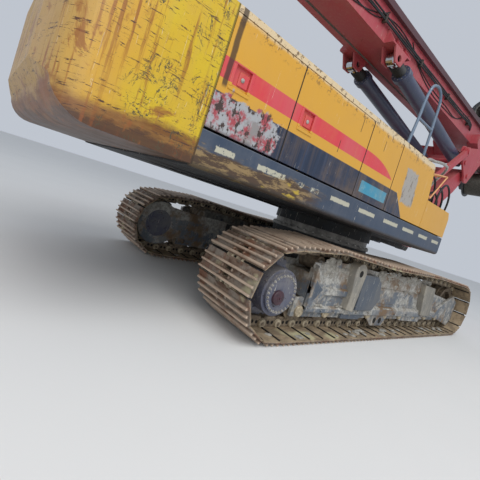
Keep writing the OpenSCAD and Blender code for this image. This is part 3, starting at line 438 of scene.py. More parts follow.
panel_paint = worn_paint("panel_paint", panel_coat, 0.735, 0.1, "#c2974f", 0.16, 0.34, 2, 0.045, scratches=0.72,
                         extra=scraped_door)
cab_paint = worn_paint("cab_paint", amber, 0.74, 0.1, "#c2974f", 0.16, 0.34, 6, scratches=0.72)
print("panels painted, with", len(panel_lines), "joints and slots")

# %% [markdown]
# The counterweight is an iron casting that has met walls and heaps: lemon paint with dark scrapes along its length, and
# a brown, rubbed lower edge. Water collects low down, so the rust follows height.

# %% Counterweight paint
# Scrapes: size, length, limit and seed; cracks: size, half width and seed
scrapes = ((0.07, 0.45, 0.61, 41), (0.035, 0.3, 0.615, 141), (0.11, 0.28, 0.635, 241))
cracks = ((0.16, 0.012, 43), (0.3, 0.009, 47))


def casting_coat(f):
    f.colour = f.mix(f.spots(0.5, 0.2, 0.7, 4, 0.6, seed=31), "#cfb91a", "#cca622")
    place = f.plus(f.x, f.times(f.noise(0.5, 5, 0.65, (1, 1, 2)), 0.5))
    f.lay("#cf9c33", f.below(place, -3.9, 0.12), 0.85)
    f.lay("#b08d56", f.below(place, -4.16, 0.16), 0.8)


def casting_wear(f):
    height = f.plus(f.z, f.ragged(0.35, 0.22, 7, 0.7, (2, 2, 0.8), seed=33))
    brown = f.mix(f.spots(0.52, 0.1, 0.12, 6, 0.7, (3, 3, 0.5), seed=35), "#69391f", "#845a32")
    f.lay(brown, f.below(height, 1.49, 0.06), 0.92)
    f.lay("#4a3223", f.below(height, 1.37, 0.03), 0.85)
    f.lay("#8a4c22", f.spots(0.59, 0.05, 0.3, 5, 0.65, (0.12, 0.12, 2.2), seed=37),
          f.spots(0.46, 0.1, 1.0, 3, seed=39), 0.75)
    for size, reach, limit, seed in scrapes:
        f.lay("#4a3024", f.spots(limit, 0.012, size, 6, 0.75, (3.2, 3.2, reach), 0.4, seed),
              f.below(height, 2.36, 0.2))
    for size, half, seed in cracks:
        field = f.minus(f.noise(size, 5, 0.62, (0.8, 0.8, 1.5), 1.4, seed), 0.52)
        f.lay("#4b4632", f.below(f.math("ABSOLUTE", field), half, 0.005),
              f.spots(0.565, 0.03, 0.22, 4, 0.6, seed=seed + 3), f.between(f.x, -4.32, -3.66, 0.05))
    f.lay("#8c5325", f.spots(0.6, 0.03, 0.35, 6, 0.7, (1, 1, 1.2), 0.5, 45), f.below(f.z, 2.0, 0.2), 0.8)
    f.lay("#2c2418", f.above(f.x, -3.655, 0.006), 0.7)


casting_paint = worn_paint("casting_paint", casting_coat, 0.72, 0.16, "#b79a52", 0.22, 0.42, 30, 0.06,
                           scratches=0.71, extra=casting_wear)
print("counterweight painted, with", len(scrapes), "sizes of scrapes")

# %% [markdown]
# The skirts are a dull blue-grey channel, scraped to brown and tan at the rear, where the rig has backed into things.
# The track frames hold dried mud on their ledges.

# %% Skirts and undercarriage paint
# Pale dashes along the right skirt: start and end, and how much of each is worn off
skirt_dashes = [(-3.495, -3.312, 0.4), (-3.066, -2.733, 0.4), (-2.55, -2.47, 0.52), (-2.36, -2.24, 0.52),
                (-2.034, -1.687, 0.3), (-1.49, -1.13, 0.36), (-0.9, -0.52, 0.3), (-0.36, -0.02, 0.3),
                (0.16, 0.47, 0.34), (0.66, 0.92, 0.3)]


def skirt_wear(f):
    frayed = f.ragged(0.34, 0.2, 7, 0.7, (2.2, 2.2, 0.6), seed=51)
    tan = f.mix(f.spots(0.52, 0.04, 0.11, 6, 0.7, (2.2, 2.2, 0.5), seed=53), "#4c3a2b", "#8d7650")
    tan = f.mix(f.spots(0.62, 0.03, 0.2, 5, 0.65, (2, 2, 0.6), seed=54), tan, "#b59a36")
    f.lay(tan, f.below(f.plus(f.z, frayed), 1.45, 0.03), f.below(f.plus(f.x, f.times(frayed, 4.0)), -2.35, 0.25))
    f.lay("#39322b", f.below(f.z, 1.335, 0.02), 0.7)
    torn = f.ragged(0.03, 0.03, 5, 0.7, seed=56)
    height = f.between(f.plus(f.z, torn), 1.455, 1.5, 0.004)
    for start, end, left in skirt_dashes:
        f.lay("#bdb9a4", height, f.between(f.plus(f.x, torn), start, end, 0.004), f.on_right(),
              f.spots(left, 0.04, 0.05, 5, 0.7, seed=57 + start), 0.9)


def caked_mud(f):
    """Dried mud that lies on ledges and clings in patches."""
    clinging = f.noise(0.16, 8, 0.72, seed=61)
    lying = f.both(f.above(f.facing_up, 0.2, 0.35), f.above(clinging, 0.3, 0.1))
    high = f.both(f.above(f.plus(f.z, f.times(clinging, 0.3)), 0.74, 0.03), f.below(f.z, 0.9, 0.01),
                  f.above(clinging, 0.4, 0.05))
    mud = f.mix(f.spots(0.5, 0.15, 0.05, 6, 0.7, seed=63), "#86837c", "#bab8b1")
    mud = f.mix(f.spots(0.55, 0.1, 0.4, 4, 0.6, seed=65), mud, "#755f48")
    f.lay(mud, f.either(f.either(f.above(clinging, 0.5, 0.06), lying), high))


skirt_paint = worn_paint("skirt_paint", ("#3a485c", "#303c4e"), 0.72, 0.1, "#6f7075", 0.3, 0.42, 50,
                         scratches=0.73, extra=skirt_wear)
deck_paint = worn_paint("deck_paint", ("#262b31", "#1f2327"), 0.68, 0.3, "#3f3a33", 0.6, 0.6, 55)
frame_paint = worn_paint("frame_paint", ("#4b5868", "#5c6772"), 0.64, 0.25, "#8b8a86", 0.7, 0.6, 60, extra=caked_mud)
cover_paint = worn_paint("cover_paint", ("#3d4856", "#475260"), 0.7, 0.3, "#7e7b74", 0.45, 0.45, 66)
drive_paint = worn_paint("drive_paint", ("#4b4e5f", "#5a5e70"), 0.62, 0.2, "#8b867f", 0.6, 0.5, 67, 0.03, "#37333b",
                         "#4a4148")
muddy_plate = worn_paint("muddy_plate", ("#8c8982", "#706d66"), 0.7, 0.4, "#a7a092", 0.8, 0.75, 68)
print("skirts painted, with", len(skirt_dashes), "dashes")

# %% [markdown]
# The mast, boom and links are a red that has bleached towards pink. The cylinders are a deep blue-grey, and their rods
# are hard chrome. Bare metals need only two tones and a grain, so one function makes them all.

# %% Red paint, cylinders and metals
mast_half, rail_foot = 0.335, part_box("mast_lower")[1].z - 0.104


def dark_rail(f):
    """The mast's rails are bare and greased, so they are dark above the box."""
    f.lay("#2c2b30", f.above(f.math("ABSOLUTE", f.y), mast_half + 0.004, 0.002), f.above(f.z, rail_foot, 0.004), 0.85)


def metal(name, dark, light, metal_share, rough_low, rough_high, size, seed, depth=0.002):
    """Bare or rusty metal: two tones, brighter where it is rubbed."""
    f = Finish(name, metal_share)
    grain = f.noise(size, 7, 0.68, seed=seed)
    f.colour = f.mix(f.above(grain, 0.5, 0.18), dark, light)
    rough = f.add("ShaderNodeMapRange", Value=grain, To_Min=rough_low, To_Max=rough_high)
    return f.done(rough.outputs[0], grain, depth)


red_paint = worn_paint("red_paint", ("#9c2530", "#b5404a"), 0.69, 0.22, "#b06d68", 0.3, 0.42, 70,
                       chip_colour="#3a2a28", scratches=0.72)
mast_paint = worn_paint("mast_paint", ("#97303a", "#b04a53"), 0.68, 0.3, "#a8706c", 0.4, 0.42, 70,
                        chip_colour="#3a2a28", scratches=0.72, extra=dark_rail)
cylinder_paint = worn_paint("cylinder_paint", ("#383f55", "#434a62"), 0.73, 0.1, "#5c6064", 0.25, 0.3, 75,
                            scratches=0.73)
machine_paint = worn_paint("machine_paint", ("#34393f", "#2c3035"), 0.7, 0.25, "#6a6258", 0.5, 0.45, 78)
rail_paint = worn_paint("rail_paint", ("#62768c", "#566a80"), 0.68, 0.1, "#8f9296", 0.3, 0.4, 80, 0.03)
chrome = metal("chrome", "#b9bec2", "#cfd3d6", 1.0, 0.08, 0.22, 0.4, 82, 0.0002)
bare_steel = metal("bare_steel", "#5d5a55", "#8d8a84", 0.75, 0.3, 0.6, 0.12, 84)
dark_iron = metal("dark_iron", "#2b2622", "#4d443c", 0.3, 0.5, 0.8, 0.07, 86)
rope_steel = metal("rope_steel", "#3b3832", "#6b675f", 0.6, 0.35, 0.6, 0.02, 88)
bolt_steel = metal("bolt_steel", "#8b8882", "#c4c0b8", 0.5, 0.3, 0.55, 0.03, 132)
link_steel = metal("link_steel", "#5f5348", "#9b8c76", 0.25, 0.6, 0.9, 0.06, 110, 0.004)
boss_steel = metal("boss_steel", "#958872", "#c2b59b", 0.2, 0.5, 0.8, 0.05, 111, 0.003)
# Near-black painted shade, standing in for the inside of holes, pockets and gaps that are not modelled
hole_black = metal("hole_black", "#0d0c0b", "#1a1714", 0.0, 0.8, 0.95, 0.05, 112)
hose_rubber = metal("hose_rubber", "#141516", "#26272a", 0.0, 0.45, 0.7, 0.1, 90, 0.0005)
seat_vinyl = metal("seat_vinyl", "#1f2023", "#2e2f33", 0.0, 0.5, 0.7, 0.02, 122, 0.001)
cap_paint = metal("cap_paint", "#33202a", "#4b2f38", 0.0, 0.4, 0.65, 0.05, 130)
flap_orange = metal("flap_orange", "#c98a55", "#dca878", 0.0, 0.5, 0.7, 0.1, 131, 0.001)
dry_mud = metal("dry_mud", "#7f7b73", "#aeaaa0", 0.0, 0.85, 0.98, 0.05, 134, 0.006)
console_plastic = metal("console_plastic", "#26282b", "#34373b", 0.0, 0.5, 0.7, 0.02, 140, 0.0008)
screen_glass = metal("screen_glass", "#0c1013", "#12181c", 0.0, 0.08, 0.15, 0.2, 141, 0.0002)
lens_glass = metal("lens_glass", "#cfd4d6", "#e4e8ea", 0.0, 0.05, 0.12, 0.02, 142, 0.0006)
mirror_glass = metal("mirror_glass", "#b9c4ca", "#c8d2d8", 1.0, 0.03, 0.08, 0.3, 143, 0.0002)
print("finishes so far", len(bpy.data.materials))

# %% [markdown]
# Track shoes are rolled steel with brown rust, pale mud in the hollows and shining tips. The tips are found by how far
# a point is from the chain. A mesh attribute carries that, because a height test would not follow the loop.

# %% Track steel
def track_steel(name, seed):
    f = Finish(name, 0.25)
    wear = f.add("ShaderNodeAttribute", {"attribute_name": "wear"}).outputs["Fac"]
    grain = f.noise(0.07, 7, 0.7, (1, 2.5, 1), seed=seed)
    f.colour = f.mix(f.above(grain, 0.5, 0.14), "#5a4234", "#857262")
    f.lay("#8f867b", f.spots(0.5, 0.08, 0.22, 5, 0.65, seed=seed + 2), 0.8)
    f.lay("#4a3428", f.spots(0.6, 0.05, 0.05, 6, 0.7, seed=seed + 4), 0.6)
    f.lay("#7b4d34", f.spots(0.56, 0.05, 0.3, 6, 0.7, (1, 0.7, 1), seed=seed + 5), 0.6)
    tan = f.mix(f.spots(0.5, 0.1, 0.16, 5, 0.65, (1, 0.5, 1), seed=seed + 7), "#85755f", "#ab987c")
    f.lay(tan, f.below(wear, -0.5, 0.2), 0.9)
    tips = f.both(f.above(wear, 0.5, 0.25), f.spots(0.4, 0.14, 0.1, 6, 0.7, (1, 3, 1), seed=seed + 6))
    f.lay("#c3ad97", tips, 0.85)
    f.lay("#c3bd98", f.spots(0.66, 0.03, 0.5, 3, 0.5, seed=seed + 8), f.below(wear, 0.4, 0.1), 0.8)
    return f.done(f.minus(0.85, f.times(tips, 0.3)), grain, 0.006)


shoe_steel = track_steel("shoe_steel", 100)
print("track steel ready")

# %% [markdown]
# The glass and the studio are simple. The floor and the backdrop are pale and plain, so that the eye stays on the
# machine, and two wide lamps give soft shadows.

# %% Glass and studio
def clear_glass():
    f = Finish("cab_glazing")
    dust = f.spots(0.55, 0.2, 0.25, 6, 0.7, seed=120)
    f.colour = f.mix(f.times(dust, 0.5), "#8fa3a8", "#a8a296")
    f.shader.inputs["Transmission Weight"].default_value = 0.9
    f.shader.inputs["IOR"].default_value = 1.45
    return f.done(f.plus(0.04, f.times(dust, 0.3)))


def add_light(name, place, target, size, power, colour=(1, 1, 1)):
    data = bpy.data.lights.new(name, "AREA")
    data.size, data.energy, data.color = size, power, colour
    facing = (Vector(target) - Vector(place)).to_track_quat("-Z", "Y").to_matrix().to_4x4()
    link_object(name, data).matrix_world = Matrix.Translation(place) @ facing


cab_glazing = clear_glass()
floor_finish = Finish("floor_finish")
floor_finish.colour = floor_finish.mix(floor_finish.noise(2.0, 3), "#d8d8d6", "#dededc")
floor_finish.done(0.9)
bm = bmesh.new()
bmesh.ops.create_circle(bm, cap_ends=True, segments=64, radius=90)
floor = link_object("floor", to_mesh("floor", bm, floor_finish.material))

world = bpy.data.worlds.new("studio")
world.use_nodes = True
world.node_tree.nodes["Background"].inputs["Color"].default_value = (0.84, 0.9, 1.0, 1)
world.node_tree.nodes["Background"].inputs["Strength"].default_value = 0.62
bpy.context.scene.world = world
bpy.context.scene.view_settings.view_transform = "Standard"
add_light("sky_light", (-3, -9, 14), (1, 0, 1.5), 12, 1500)
add_light("side_light", (-11, -13, 9), (1, -1, 1), 12, 720, (1, 0.98, 0.95))
print("studio ready")

# %% [markdown]
# Every frame node now takes its finish. A table from finish to nodes is easier to check than many assignments, and a
# node that is missing from it stops the script.

# %% Finish the frame's nodes
node_finishes = {node: finish for finish, names in (
    (deck_paint, "carbody deck"), (bare_steel, "slew_ring drive_sleeve"), (skirt_paint, "skirts"),
    (frame_paint, "track_frame_right track_frame_left"), (drive_paint, "sprocket_right sprocket_left"),
    (link_steel, "rollers_right rollers_left idler_right idler_left"), (shoe_steel, "track_right track_left"),
    (casting_paint, "counterweight"), (machine_paint, "engine head_sheaves rotary_drive main_winch aux_winch"),
    (panel_paint, "door_right_rear door_right_front tank_housing door_left_rear housing_left hood"),
    (cab_paint, "front_box cab_shell cab_door"), (cab_glazing, "cab_glass"), (seat_vinyl, "cab_seat"),
    (rail_paint, "handrails"), (red_paint, "boom_tower boom struts triangle mast_head carriage"),
    (cylinder_paint, "luff_barrels mast_barrels crowd_barrel"), (chrome, "luff_rods mast_rods"),
    (mast_paint, "mast_lower mast_upper")) for node in names.split()}
for node_name, obj in nodes.items():
    obj.data.materials.clear()
    obj.data.materials.append(node_finishes[node_name])
print("finished", len(node_finishes), "nodes")

# %% [markdown]
# The chain runs straight along the ground, round the idler, back with a sag between the carrier rollers, and round the
# sprocket. A distance along this loop gives a point, so pins can be set one pitch apart.

# %% The loop of the chain
pin_radius, shoe_count, link_out, link_in = 0.391, 53, 0.04, 0.065
shoe_thick, grouser_high, shoe_half = 0.017, 0.032, 0.4
front_hub_x, hub_z, rear_hub_x = middle("idler_right").x, middle("idler_right").z, middle("sprocket_right").x
track_mid = abs(middle("track_right").y)
top_sag = [(rear_hub_x, 0.0), (slew_x - 1.7, 0.062), (slew_x - 0.5, 0.022), (slew_x + 1.0, 0.046),
           (front_hub_x, 0.0)]
run_length, turn_length = front_hub_x - rear_hub_x, math.pi * pin_radius


def sag_at(x):
    for (x0, h0), (x1, h1) in zip(top_sag, top_sag[1:]):
        if x0 <= x <= x1:
            return h0 + (h1 - h0) * (x - x0) / (x1 - x0)
    return 0.0


def loop_point(s):
    """The chain's place at a distance along its loop, as a side-view vector."""
    if s < run_length:
        return Vector((rear_hub_x + s, 0, hub_z - pin_radius))
    if run_length + turn_length <= s < 2 * run_length + turn_length:
        x = front_hub_x - (s - run_length - turn_length)
        return Vector((x, 0, hub_z + pin_radius + sag_at(x)))
    hub_x, runs = (front_hub_x, 1) if s < run_length + turn_length else (rear_hub_x, 2)
    a = (s - runs * run_length) / pin_radius - math.pi / 2
    return Vector((hub_x + pin_radius * math.cos(a), 0, hub_z + pin_radius * math.sin(a)))


pitch = 2 * (run_length + turn_length) / shoe_count
pins = [loop_point((k + 0.5) * pitch % (pitch * shoe_count)) for k in range(shoe_count)]
print("pitch", round(pitch, 4), "loop", round(pitch * shoe_count, 3))

# %% [markdown]
# Each shoe is a rolled plate with three grousers, two mud holes and notches for the chain, bolted to a pair of links
# that turn on pins. One shoe and one pair of links are built flat along X, with their outer face up.

# %% One shoe and one pair of links
# Strips of the plate: its span across, and its start and end as a share of the shoe
shoe_strips = [(-shoe_half, -0.11, 0, 1), (-0.11, -0.06, 0.09, 1), (-0.06, -0.045, 0, 1), (0.045, 0.06, 0, 1),
               (0.06, 0.11, 0.09, 1), (0.11, shoe_half, 0, 1), (-0.045, 0.045, 0, 0.4),
               (-0.045, 0.045, 0.53, 0.71), (-0.045, 0.045, 0.84, 1)]
grouser_half, link_eye = 0.0155, 0.052


def build_shoe():
    bm = bmesh.new()
    low, high = link_out, link_out + shoe_thick
    wide, top = pitch * 0.982, high + grouser_high
    for y0, y1, a, b in shoe_strips:
        add_box(bm, (a * wide, y0, low), (b * wide, y1, high))
    for u in (0.31 * pitch, 0.63 * pitch, 0.95 * pitch):
        outline = [(u - grouser_half, high - 0.002), (u + grouser_half, high - 0.002),
                   (u + grouser_half * 0.55, top), (u - grouser_half * 0.55, top)]
        add_plate(bm, outline, -shoe_half + 0.006, shoe_half - 0.006, 0.004)
    # A near-black strip under the gap to the next shoe is painted shade, not a part of the shoe
    add_box(bm, (0.97 * pitch, -shoe_half + 0.02, low - 0.01), (1.05 * pitch, shoe_half - 0.02, low - 0.002), index=1)
    for u in (0.465 * pitch, 0.775 * pitch):
        for y in (-0.0725, 0.0725):
            add_rod(bm, (u, y, high), (u, y, high + 0.014), 0.017, 6, 0.015)
    return bm


def build_links():
    bm = bmesh.new()
    outline = [(0.03, -link_in), (pitch - 0.03, -link_in), (pitch - 0.02, -0.03), (pitch - 0.055, 0.0),
               (pitch - 0.03, 0.03), (pitch - 0.03, link_out), (0.03, link_out), (0.035, 0.02), (0.055, 0.0),
               (0.02, -0.035)]
    for side in (-1, 1):
        add_plate(bm, arc_points((0, 0), link_eye, 20, 340, 12), side * 0.074, side * 0.1)
        add_plate(bm, arc_points((pitch, 0), link_eye, 160, -160, 12), side * 0.045, side * 0.072)
        add_plate(bm, outline, side * 0.045, side * 0.1, 0.004)
        add_rod(bm, (0, side * 0.02, 0), (0, side * 0.124, 0), 0.05, 20, 0.045, 0.007, index=2)
        add_rod(bm, (0, side * 0.116, 0), (0, side * 0.127, 0), 0.02, 12)
        # Near-black discs on each link's face are painted shade for pockets that are not cut
        for u in (0.42 * pitch, 0.68 * pitch):
            add_rod(bm, (u, side * 0.095, -0.006), (u, side * 0.1008, -0.006), 0.019, 12, index=1)
    add_rod(bm, (0, -0.05, 0), (0, 0.05, 0), 0.028, 14)
    return bm


print("shoe", round(pitch * 0.982, 4), "by", 2 * shoe_half)

# %% [markdown]
# The flat parts are copied round both loops by a matrix for each pitch. A curve modifier could bend a strip, but rigid
# shoes must stay flat. A tiny turn at random keeps them from looking printed.

# %% Copy them round both loops
def place_on_loop(k, side):
    along = (pins[(k + 1) % shoe_count] - pins[k]).normalized()
    turn = Matrix((along, Y_AXIS, (along.z, 0, -along.x))).transposed().to_4x4()
    return Matrix.Translation(pins[k] + Y_AXIS * side * track_mid) @ turn


def copy_round(name, flat, side, turn, *materials, node=None):
    """Copies a flat part to every pitch and returns the piece with the flat part's heights."""
    source = to_mesh("flat_part", flat)
    bm = bmesh.new()
    for k in range(shoe_count):
        first = len(bm.verts)
        bm.from_mesh(source)
        bm.verts.ensure_lookup_table()
        lean = Matrix.Rotation(random.uniform(-turn, turn), 4, "Z")
        bmesh.ops.transform(bm, matrix=place_on_loop(k, side) @ lean, verts=bm.verts[first:])
    bmesh.ops.recalc_face_normals(bm, faces=bm.faces)
    piece = make_piece(name, bm, "undercarriage", *materials, smooth_angle=30, node=node)
    heights = [v.co[2] for v in source.vertices] * shoe_count
    bpy.data.meshes.remove(source)
    return piece, heights


shoe_top = link_out + shoe_thick
for side_name, side in SIDES:
    random.seed(5 + side)
    piece, heights = copy_round(f"track_shoes_{side_name}", build_shoe(), side, 0.003, shoe_steel, hole_black,
                                node=f"track_{side_name}")
    wear = [-1.0 if h < link_out + 0.002 else min(1.0, max(0.0, (h - shoe_top) / grouser_high)) for h in heights]
    piece.data.attributes.new("wear", "FLOAT", "POINT").data.foreach_set("value", wear)
    copy_round(f"track_chain_{side_name}", build_links(), side, 0.0, link_steel, hole_black, boss_steel)

# %% [markdown]
# The final drives carry a ring of cover bolts, a dark filler cap and a plug, and bolts hold the slewing bearing all
# round. A loop over angles puts each ring where its flange is, and keeps it in one mesh.

# %% Bolts of the drives and the bearing
for side_name, side in SIDES:
    node = f"sprocket_{side_name}"
    hub = Vector((middle(node).x, side * outer_face(node), hub_z))
    cap = hub + Vector((-0.046, 0, -0.034))
    bm = bmesh.new()
    add_bolt_ring(bm, hub, 0.174, 28, Y_AXIS * side)
    add_turned(bm, [(0, 0.034), (0.026, 0.034), (0.028, 0.03), (0.064, 0.026), (0.069, 0.02), (0.069, 0.0)], cap,
               Y_AXIS * side, 24, 1)
    add_rods(bm, cap, ((0, side * 0.03, 0), (0, side * 0.046, 0), 0.011, 6, 0.009, 0, 1))
    make_piece(f"final_drive_bolts_{side_name}", bm, "undercarriage", bolt_steel, cap_paint)

ring_low, ring_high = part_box("slew_ring")
bm = bmesh.new()
add_bolt_ring(bm, (slew_x, 0, ring_low.z + 0.04), ring_high.y - 0.022, 36, Z_AXIS, 0.024)
make_piece("bearing_bolts", bm, "undercarriage", bolt_steel)

# %% [markdown]
# A track frame is welded from thick plate: a sloped top, a shelf and a bottom flange, then a gusset, a lug, covers, and
# guards beside the chain. Each is a flat outline pushed through its thickness, as the plates are cut. One solid with
# all of them would need many booleans for the same look. The hole in the lug and two holes in a guard are not cut: thin
# near-black discs of painted shade stand for them.

# %% Plates of the track frames
# End-view outlines of (reach, z) points from the guard's face, with their span from the slew axis
rear_section = [(0.024, 0.56), (0.046, 0.548), (0.046, 0.48), (0.016, 0.468), (0.016, 0.342), (0.046, 0.324),
                (0.046, 0.274), (-0.02, 0.274)]
frame_sections = [
    ([(-0.02, 0.8), (-0.006, 0.806)] + rear_section, -1.88, -1.5),
    ([(-0.02, 0.85), (-0.006, 0.856)] + rear_section, -1.5, -1.11),
    ([(-0.02, 0.378), (0.012, 0.378), (0.044, 0.345), (0.044, 0.262), (-0.02, 0.262)], -1.11, 1.76),
    ([(-0.02, 0.842), (-0.006, 0.842), (0.01, 0.7), (0.01, 0.64), (-0.02, 0.64)], -0.48, 1.1)]
lug_eye = (-1.107, 0.788)
# Side-view outlines from the slew axis: points, inner and outer face, finish and bevel
frame_plates = [
    ([(-1.88, 0.294), (-1.88, 0.79), (-1.8, 0.644), (-1.606, 0.544), (-1.75, 0.378), (-1.8, 0.294)],
     0.0, 0.06, 0, 0.004),
    ([(-1.85, 0.4), (-1.85, 0.64), (-1.8, 0.59), (-1.7, 0.54), (-1.79, 0.43)], 0.058, 0.0605, 1, 0),
    ([(-1.037, 0.318)] + arc_points(lug_eye, 0.12, 0, 180) + [(-1.177, 0.52), (-1.187, 0.344)],
     -0.02, 0.1, 3, 0.006),
    # A thin near-black disc on the lug is painted shade for its hole
    (arc_points(lug_eye, 0.04, 0, 345, 23), 0.098, 0.1005, 2, 0),
    ([(-0.967, 0.338), (-0.977, 0.79), (-0.657, 0.79), (-0.537, 0.722), (-0.447, 0.502), (-0.577, 0.344)],
     -0.02, 0.088, 1, 0.006),
    ([(1.077, 0.304), (0.917, 0.802), (1.347, 0.772), (1.467, 0.294)], -0.02, 0.076, 3, 0.005),
    ([(1.71, 0.274), (2.03, 0.214), (2.55, 0.114), (2.71, 0.234), (2.72, 0.57), (2.48, 0.68), (2.18, 0.56),
      (1.92, 0.44), (1.8, 0.34)], -0.012, 0.03, 0, 0.005),
    ([(-1.137, 0.284), (-1.137, 0.204), (-0.737, 0.196), (-0.517, 0.284)], 0.0, 0.03, 1, 0.004),
    ([(-0.577, 0.276), (-0.357, 0.112), (-0.047, 0.112), (0.073, 0.276)], 0.0, 0.026, 0, 0.004),
    # Two thin near-black discs on the guard are painted shade for its holes
    (arc_points((-0.277, 0.186), 0.042, 0, 345, 23), 0.024, 0.0265, 2, 0),
    (arc_points((-0.127, 0.186), 0.042, 0, 345, 23), 0.024, 0.0265, 2, 0),
    ([(0.437, 0.284), (0.477, 0.194), (1.177, 0.174), (1.247, 0.284)], 0.0, 0.028, 0, 0.004)]
cap_profile = [(0, 0.036), (0.016, 0.036), (0.018, 0.03), (0.052, 0.028), (0.062, 0.018), (0.062, -0.004)]
for side_name, side in SIDES:
    face = outer_face(f"track_frame_{side_name}")
    bm = bmesh.new()
    for outline, x0, x1 in frame_sections:
        add_prism(bm, [(slew_x + x0, side * (face + y), z) for y, z in outline], (x1 - x0, 0, 0), 0.004)
    for outline, inner, outer, index, edge in frame_plates:
        add_plate(bm, [(slew_x + x, z) for x, z in outline], side * (face + inner), side * (face + outer), edge, index)
    for x in (-1.6, -1.35, -0.85, -0.55, 0.2, 0.6, 1.6):
        add_bolt(bm, (slew_x + x, side * (face + 0.046), 0.3), Y_AXIS * side, 0.022)
    make_piece(f"frame_plates_{side_name}", bm, "undercarriage", frame_paint, cover_paint, hole_black, muddy_plate,
               smooth_angle=25)
    bm = bmesh.new()
    for i in range(9):
        add_turned(bm, cap_profile, (slew_x - 1.92 + 0.48 * i, side * face, 0.266), Y_AXIS * side, 24)
    make_piece(f"roller_caps_{side_name}", bm, "undercarriage", boss_steel)

# %% [markdown]
# Dried mud lies in lumps on ledges and on the tracks' inner faces. Each lump is a small sphere, pushed about at random
# and pressed flat. A displaced surface would cover everything evenly, but real mud sits in heaps.

# %% Lumps of mud
def add_lump(bm, at, size, flat):
    verts = bmesh.ops.create_icosphere(bm, subdivisions=2, radius=size)["verts"]
    for v in verts:
        v.co *= 1 + random.uniform(-0.22, 0.22)
    bmesh.ops.scale(bm, vec=flat, verts=verts)
    bmesh.ops.translate(bm, vec=at, verts=verts)


random.seed(21)
for side_name, side in SIDES:
    face = outer_face(f"track_frame_{side_name}")
    bm = bmesh.new()
    for _ in range(190):
        x = slew_x + random.uniform(-1.8, 1.3)
        z = random.choice((random.uniform(0.74, 0.86), random.uniform(0.62, 0.86)))
        if not -1.0 < x - slew_x < -0.5:
            add_lump(bm, (x, side * (face - 0.012 + 0.05 * (0.86 - z)), z), random.uniform(0.02, 0.055),
                     (1.3, 0.35, 0.7))
    for _ in range(70):
        x = slew_x + random.uniform(-1.85, 1.75)
        add_lump(bm, (x, side * (face + 0.026), random.choice((0.352, 0.556)) if x < slew_x - 1.15 else 0.352),
                 random.uniform(0.012, 0.028), (1.6, 0.6, 0.6))
    for _ in range(60):
        x = random.uniform(rear_hub_x, front_hub_x)
        y = side * (track_mid + random.choice((-1, 1)) * random.uniform(0.19, 0.34))
        add_lump(bm, (x, y, hub_z - pin_radius - link_out + 0.004), random.uniform(0.02, 0.045), (1.4, 1, 0.35))
    make_piece(f"mud_{side_name}", bm, "undercarriage", dry_mud, smooth_angle=60)

# %% [markdown]
# Two drums are wound with steel rope, and the main one runs under the laid-back mast, round the head's sheaves and back
# to a parking eye. The windings are one turned profile of half circles, because the gap between turns is too small to
# see a helix.

# %% Hoist ropes
mast_deep, rope_radius, drum_end = 0.46, 0.014, 0.08
mast_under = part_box("mast_lower")[1].z - 0.1 - mast_deep
head_x, sheave_top = middle("head_sheaves").x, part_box("head_sheaves")[1].z
groove = 0.256 + rope_radius


def wind_rope(name, node, drum, half_width):
    """Covers a drum with turns of rope and returns the drum's axis."""
    low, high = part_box(node)
    axis = Vector((middle(node).x, 0, mast_under - (high.x - low.x) / 2 - 0.04))
    start = drum_end - half_width
    profile = [(drum + 0.007 + rope_radius * (1 + math.sin(a)), start + rope_radius * (2 * i + 1 - math.cos(a)))
               for i in range(int(2 * (half_width - drum_end) / (2 * rope_radius)))
               for a in (math.pi * k / 4 for k in range(4))]
    profile.append((profile[0][0], -start))
    bm = bmesh.new()
    add_turned(bm, profile, axis, Y_AXIS, 40)
    make_piece(name, bm, "mast", rope_steel, smooth_angle=60)
    return axis


main_drum = 0.29
main_axis = wind_rope("main_rope_turns", "main_winch", main_drum, 0.32)
wind_rope("aux_rope_turns", "aux_winch", 0.18, 0.26)
rear_sheave, front_sheave = Vector((head_x, 0, mast_under + 0.04)), Vector((head_x, 0, sheave_top - 0.29))
eye = Vector((head_x + 3.6, 0, mast_under + mast_deep))
route = [main_axis + Vector((0, 0, main_drum + 0.035))]
route += [rear_sheave + Vector((-z, 0, -x)) for x, z in circle_points(groove, map(math.radians, (0, 20, 45, 70, 90)))]
route += [front_sheave + Vector((-x, 0, z)) for x, z in circle_points(groove, map(math.radians, (0, 20, 45, 70, 88)))]
route.append(eye + Vector((0, 0, 0.09)))
bm = bmesh.new()
for a, b in zip(route, route[1:]):
    add_rod(bm, a, b, rope_radius, 10)
make_piece("hoist_ropes", bm, "mast", rope_steel, smooth_angle=60)

bm = bmesh.new()
add_boxes(bm, eye, ((-0.07, -0.045, -0.002), (0.09, 0.045, 0.018), 0.004),
          ((-0.03, -0.032, 0.016), (0.06, -0.018, 0.125), 0.005), ((-0.03, 0.018, 0.016), (0.06, 0.032, 0.125), 0.005))
add_rods(bm, eye, ((0.02, -0.05, 0.09), (0.02, 0.05, 0.09), 0.013, 12),
         ((-0.1, 0, 0.098), (-0.01, 0, 0.092), 0.024, 14, 0.017, 0.003))
make_piece("rope_parking_eye", bm, "mast", bolt_steel)

# %% [markdown]
# Hoses run along both sides of the mast in clamps, thin cables droop beside them, and more hoses hang in loops in front
# of the boom tower. Each is a curve with a bevel, because a hose bends smoothly and is round.

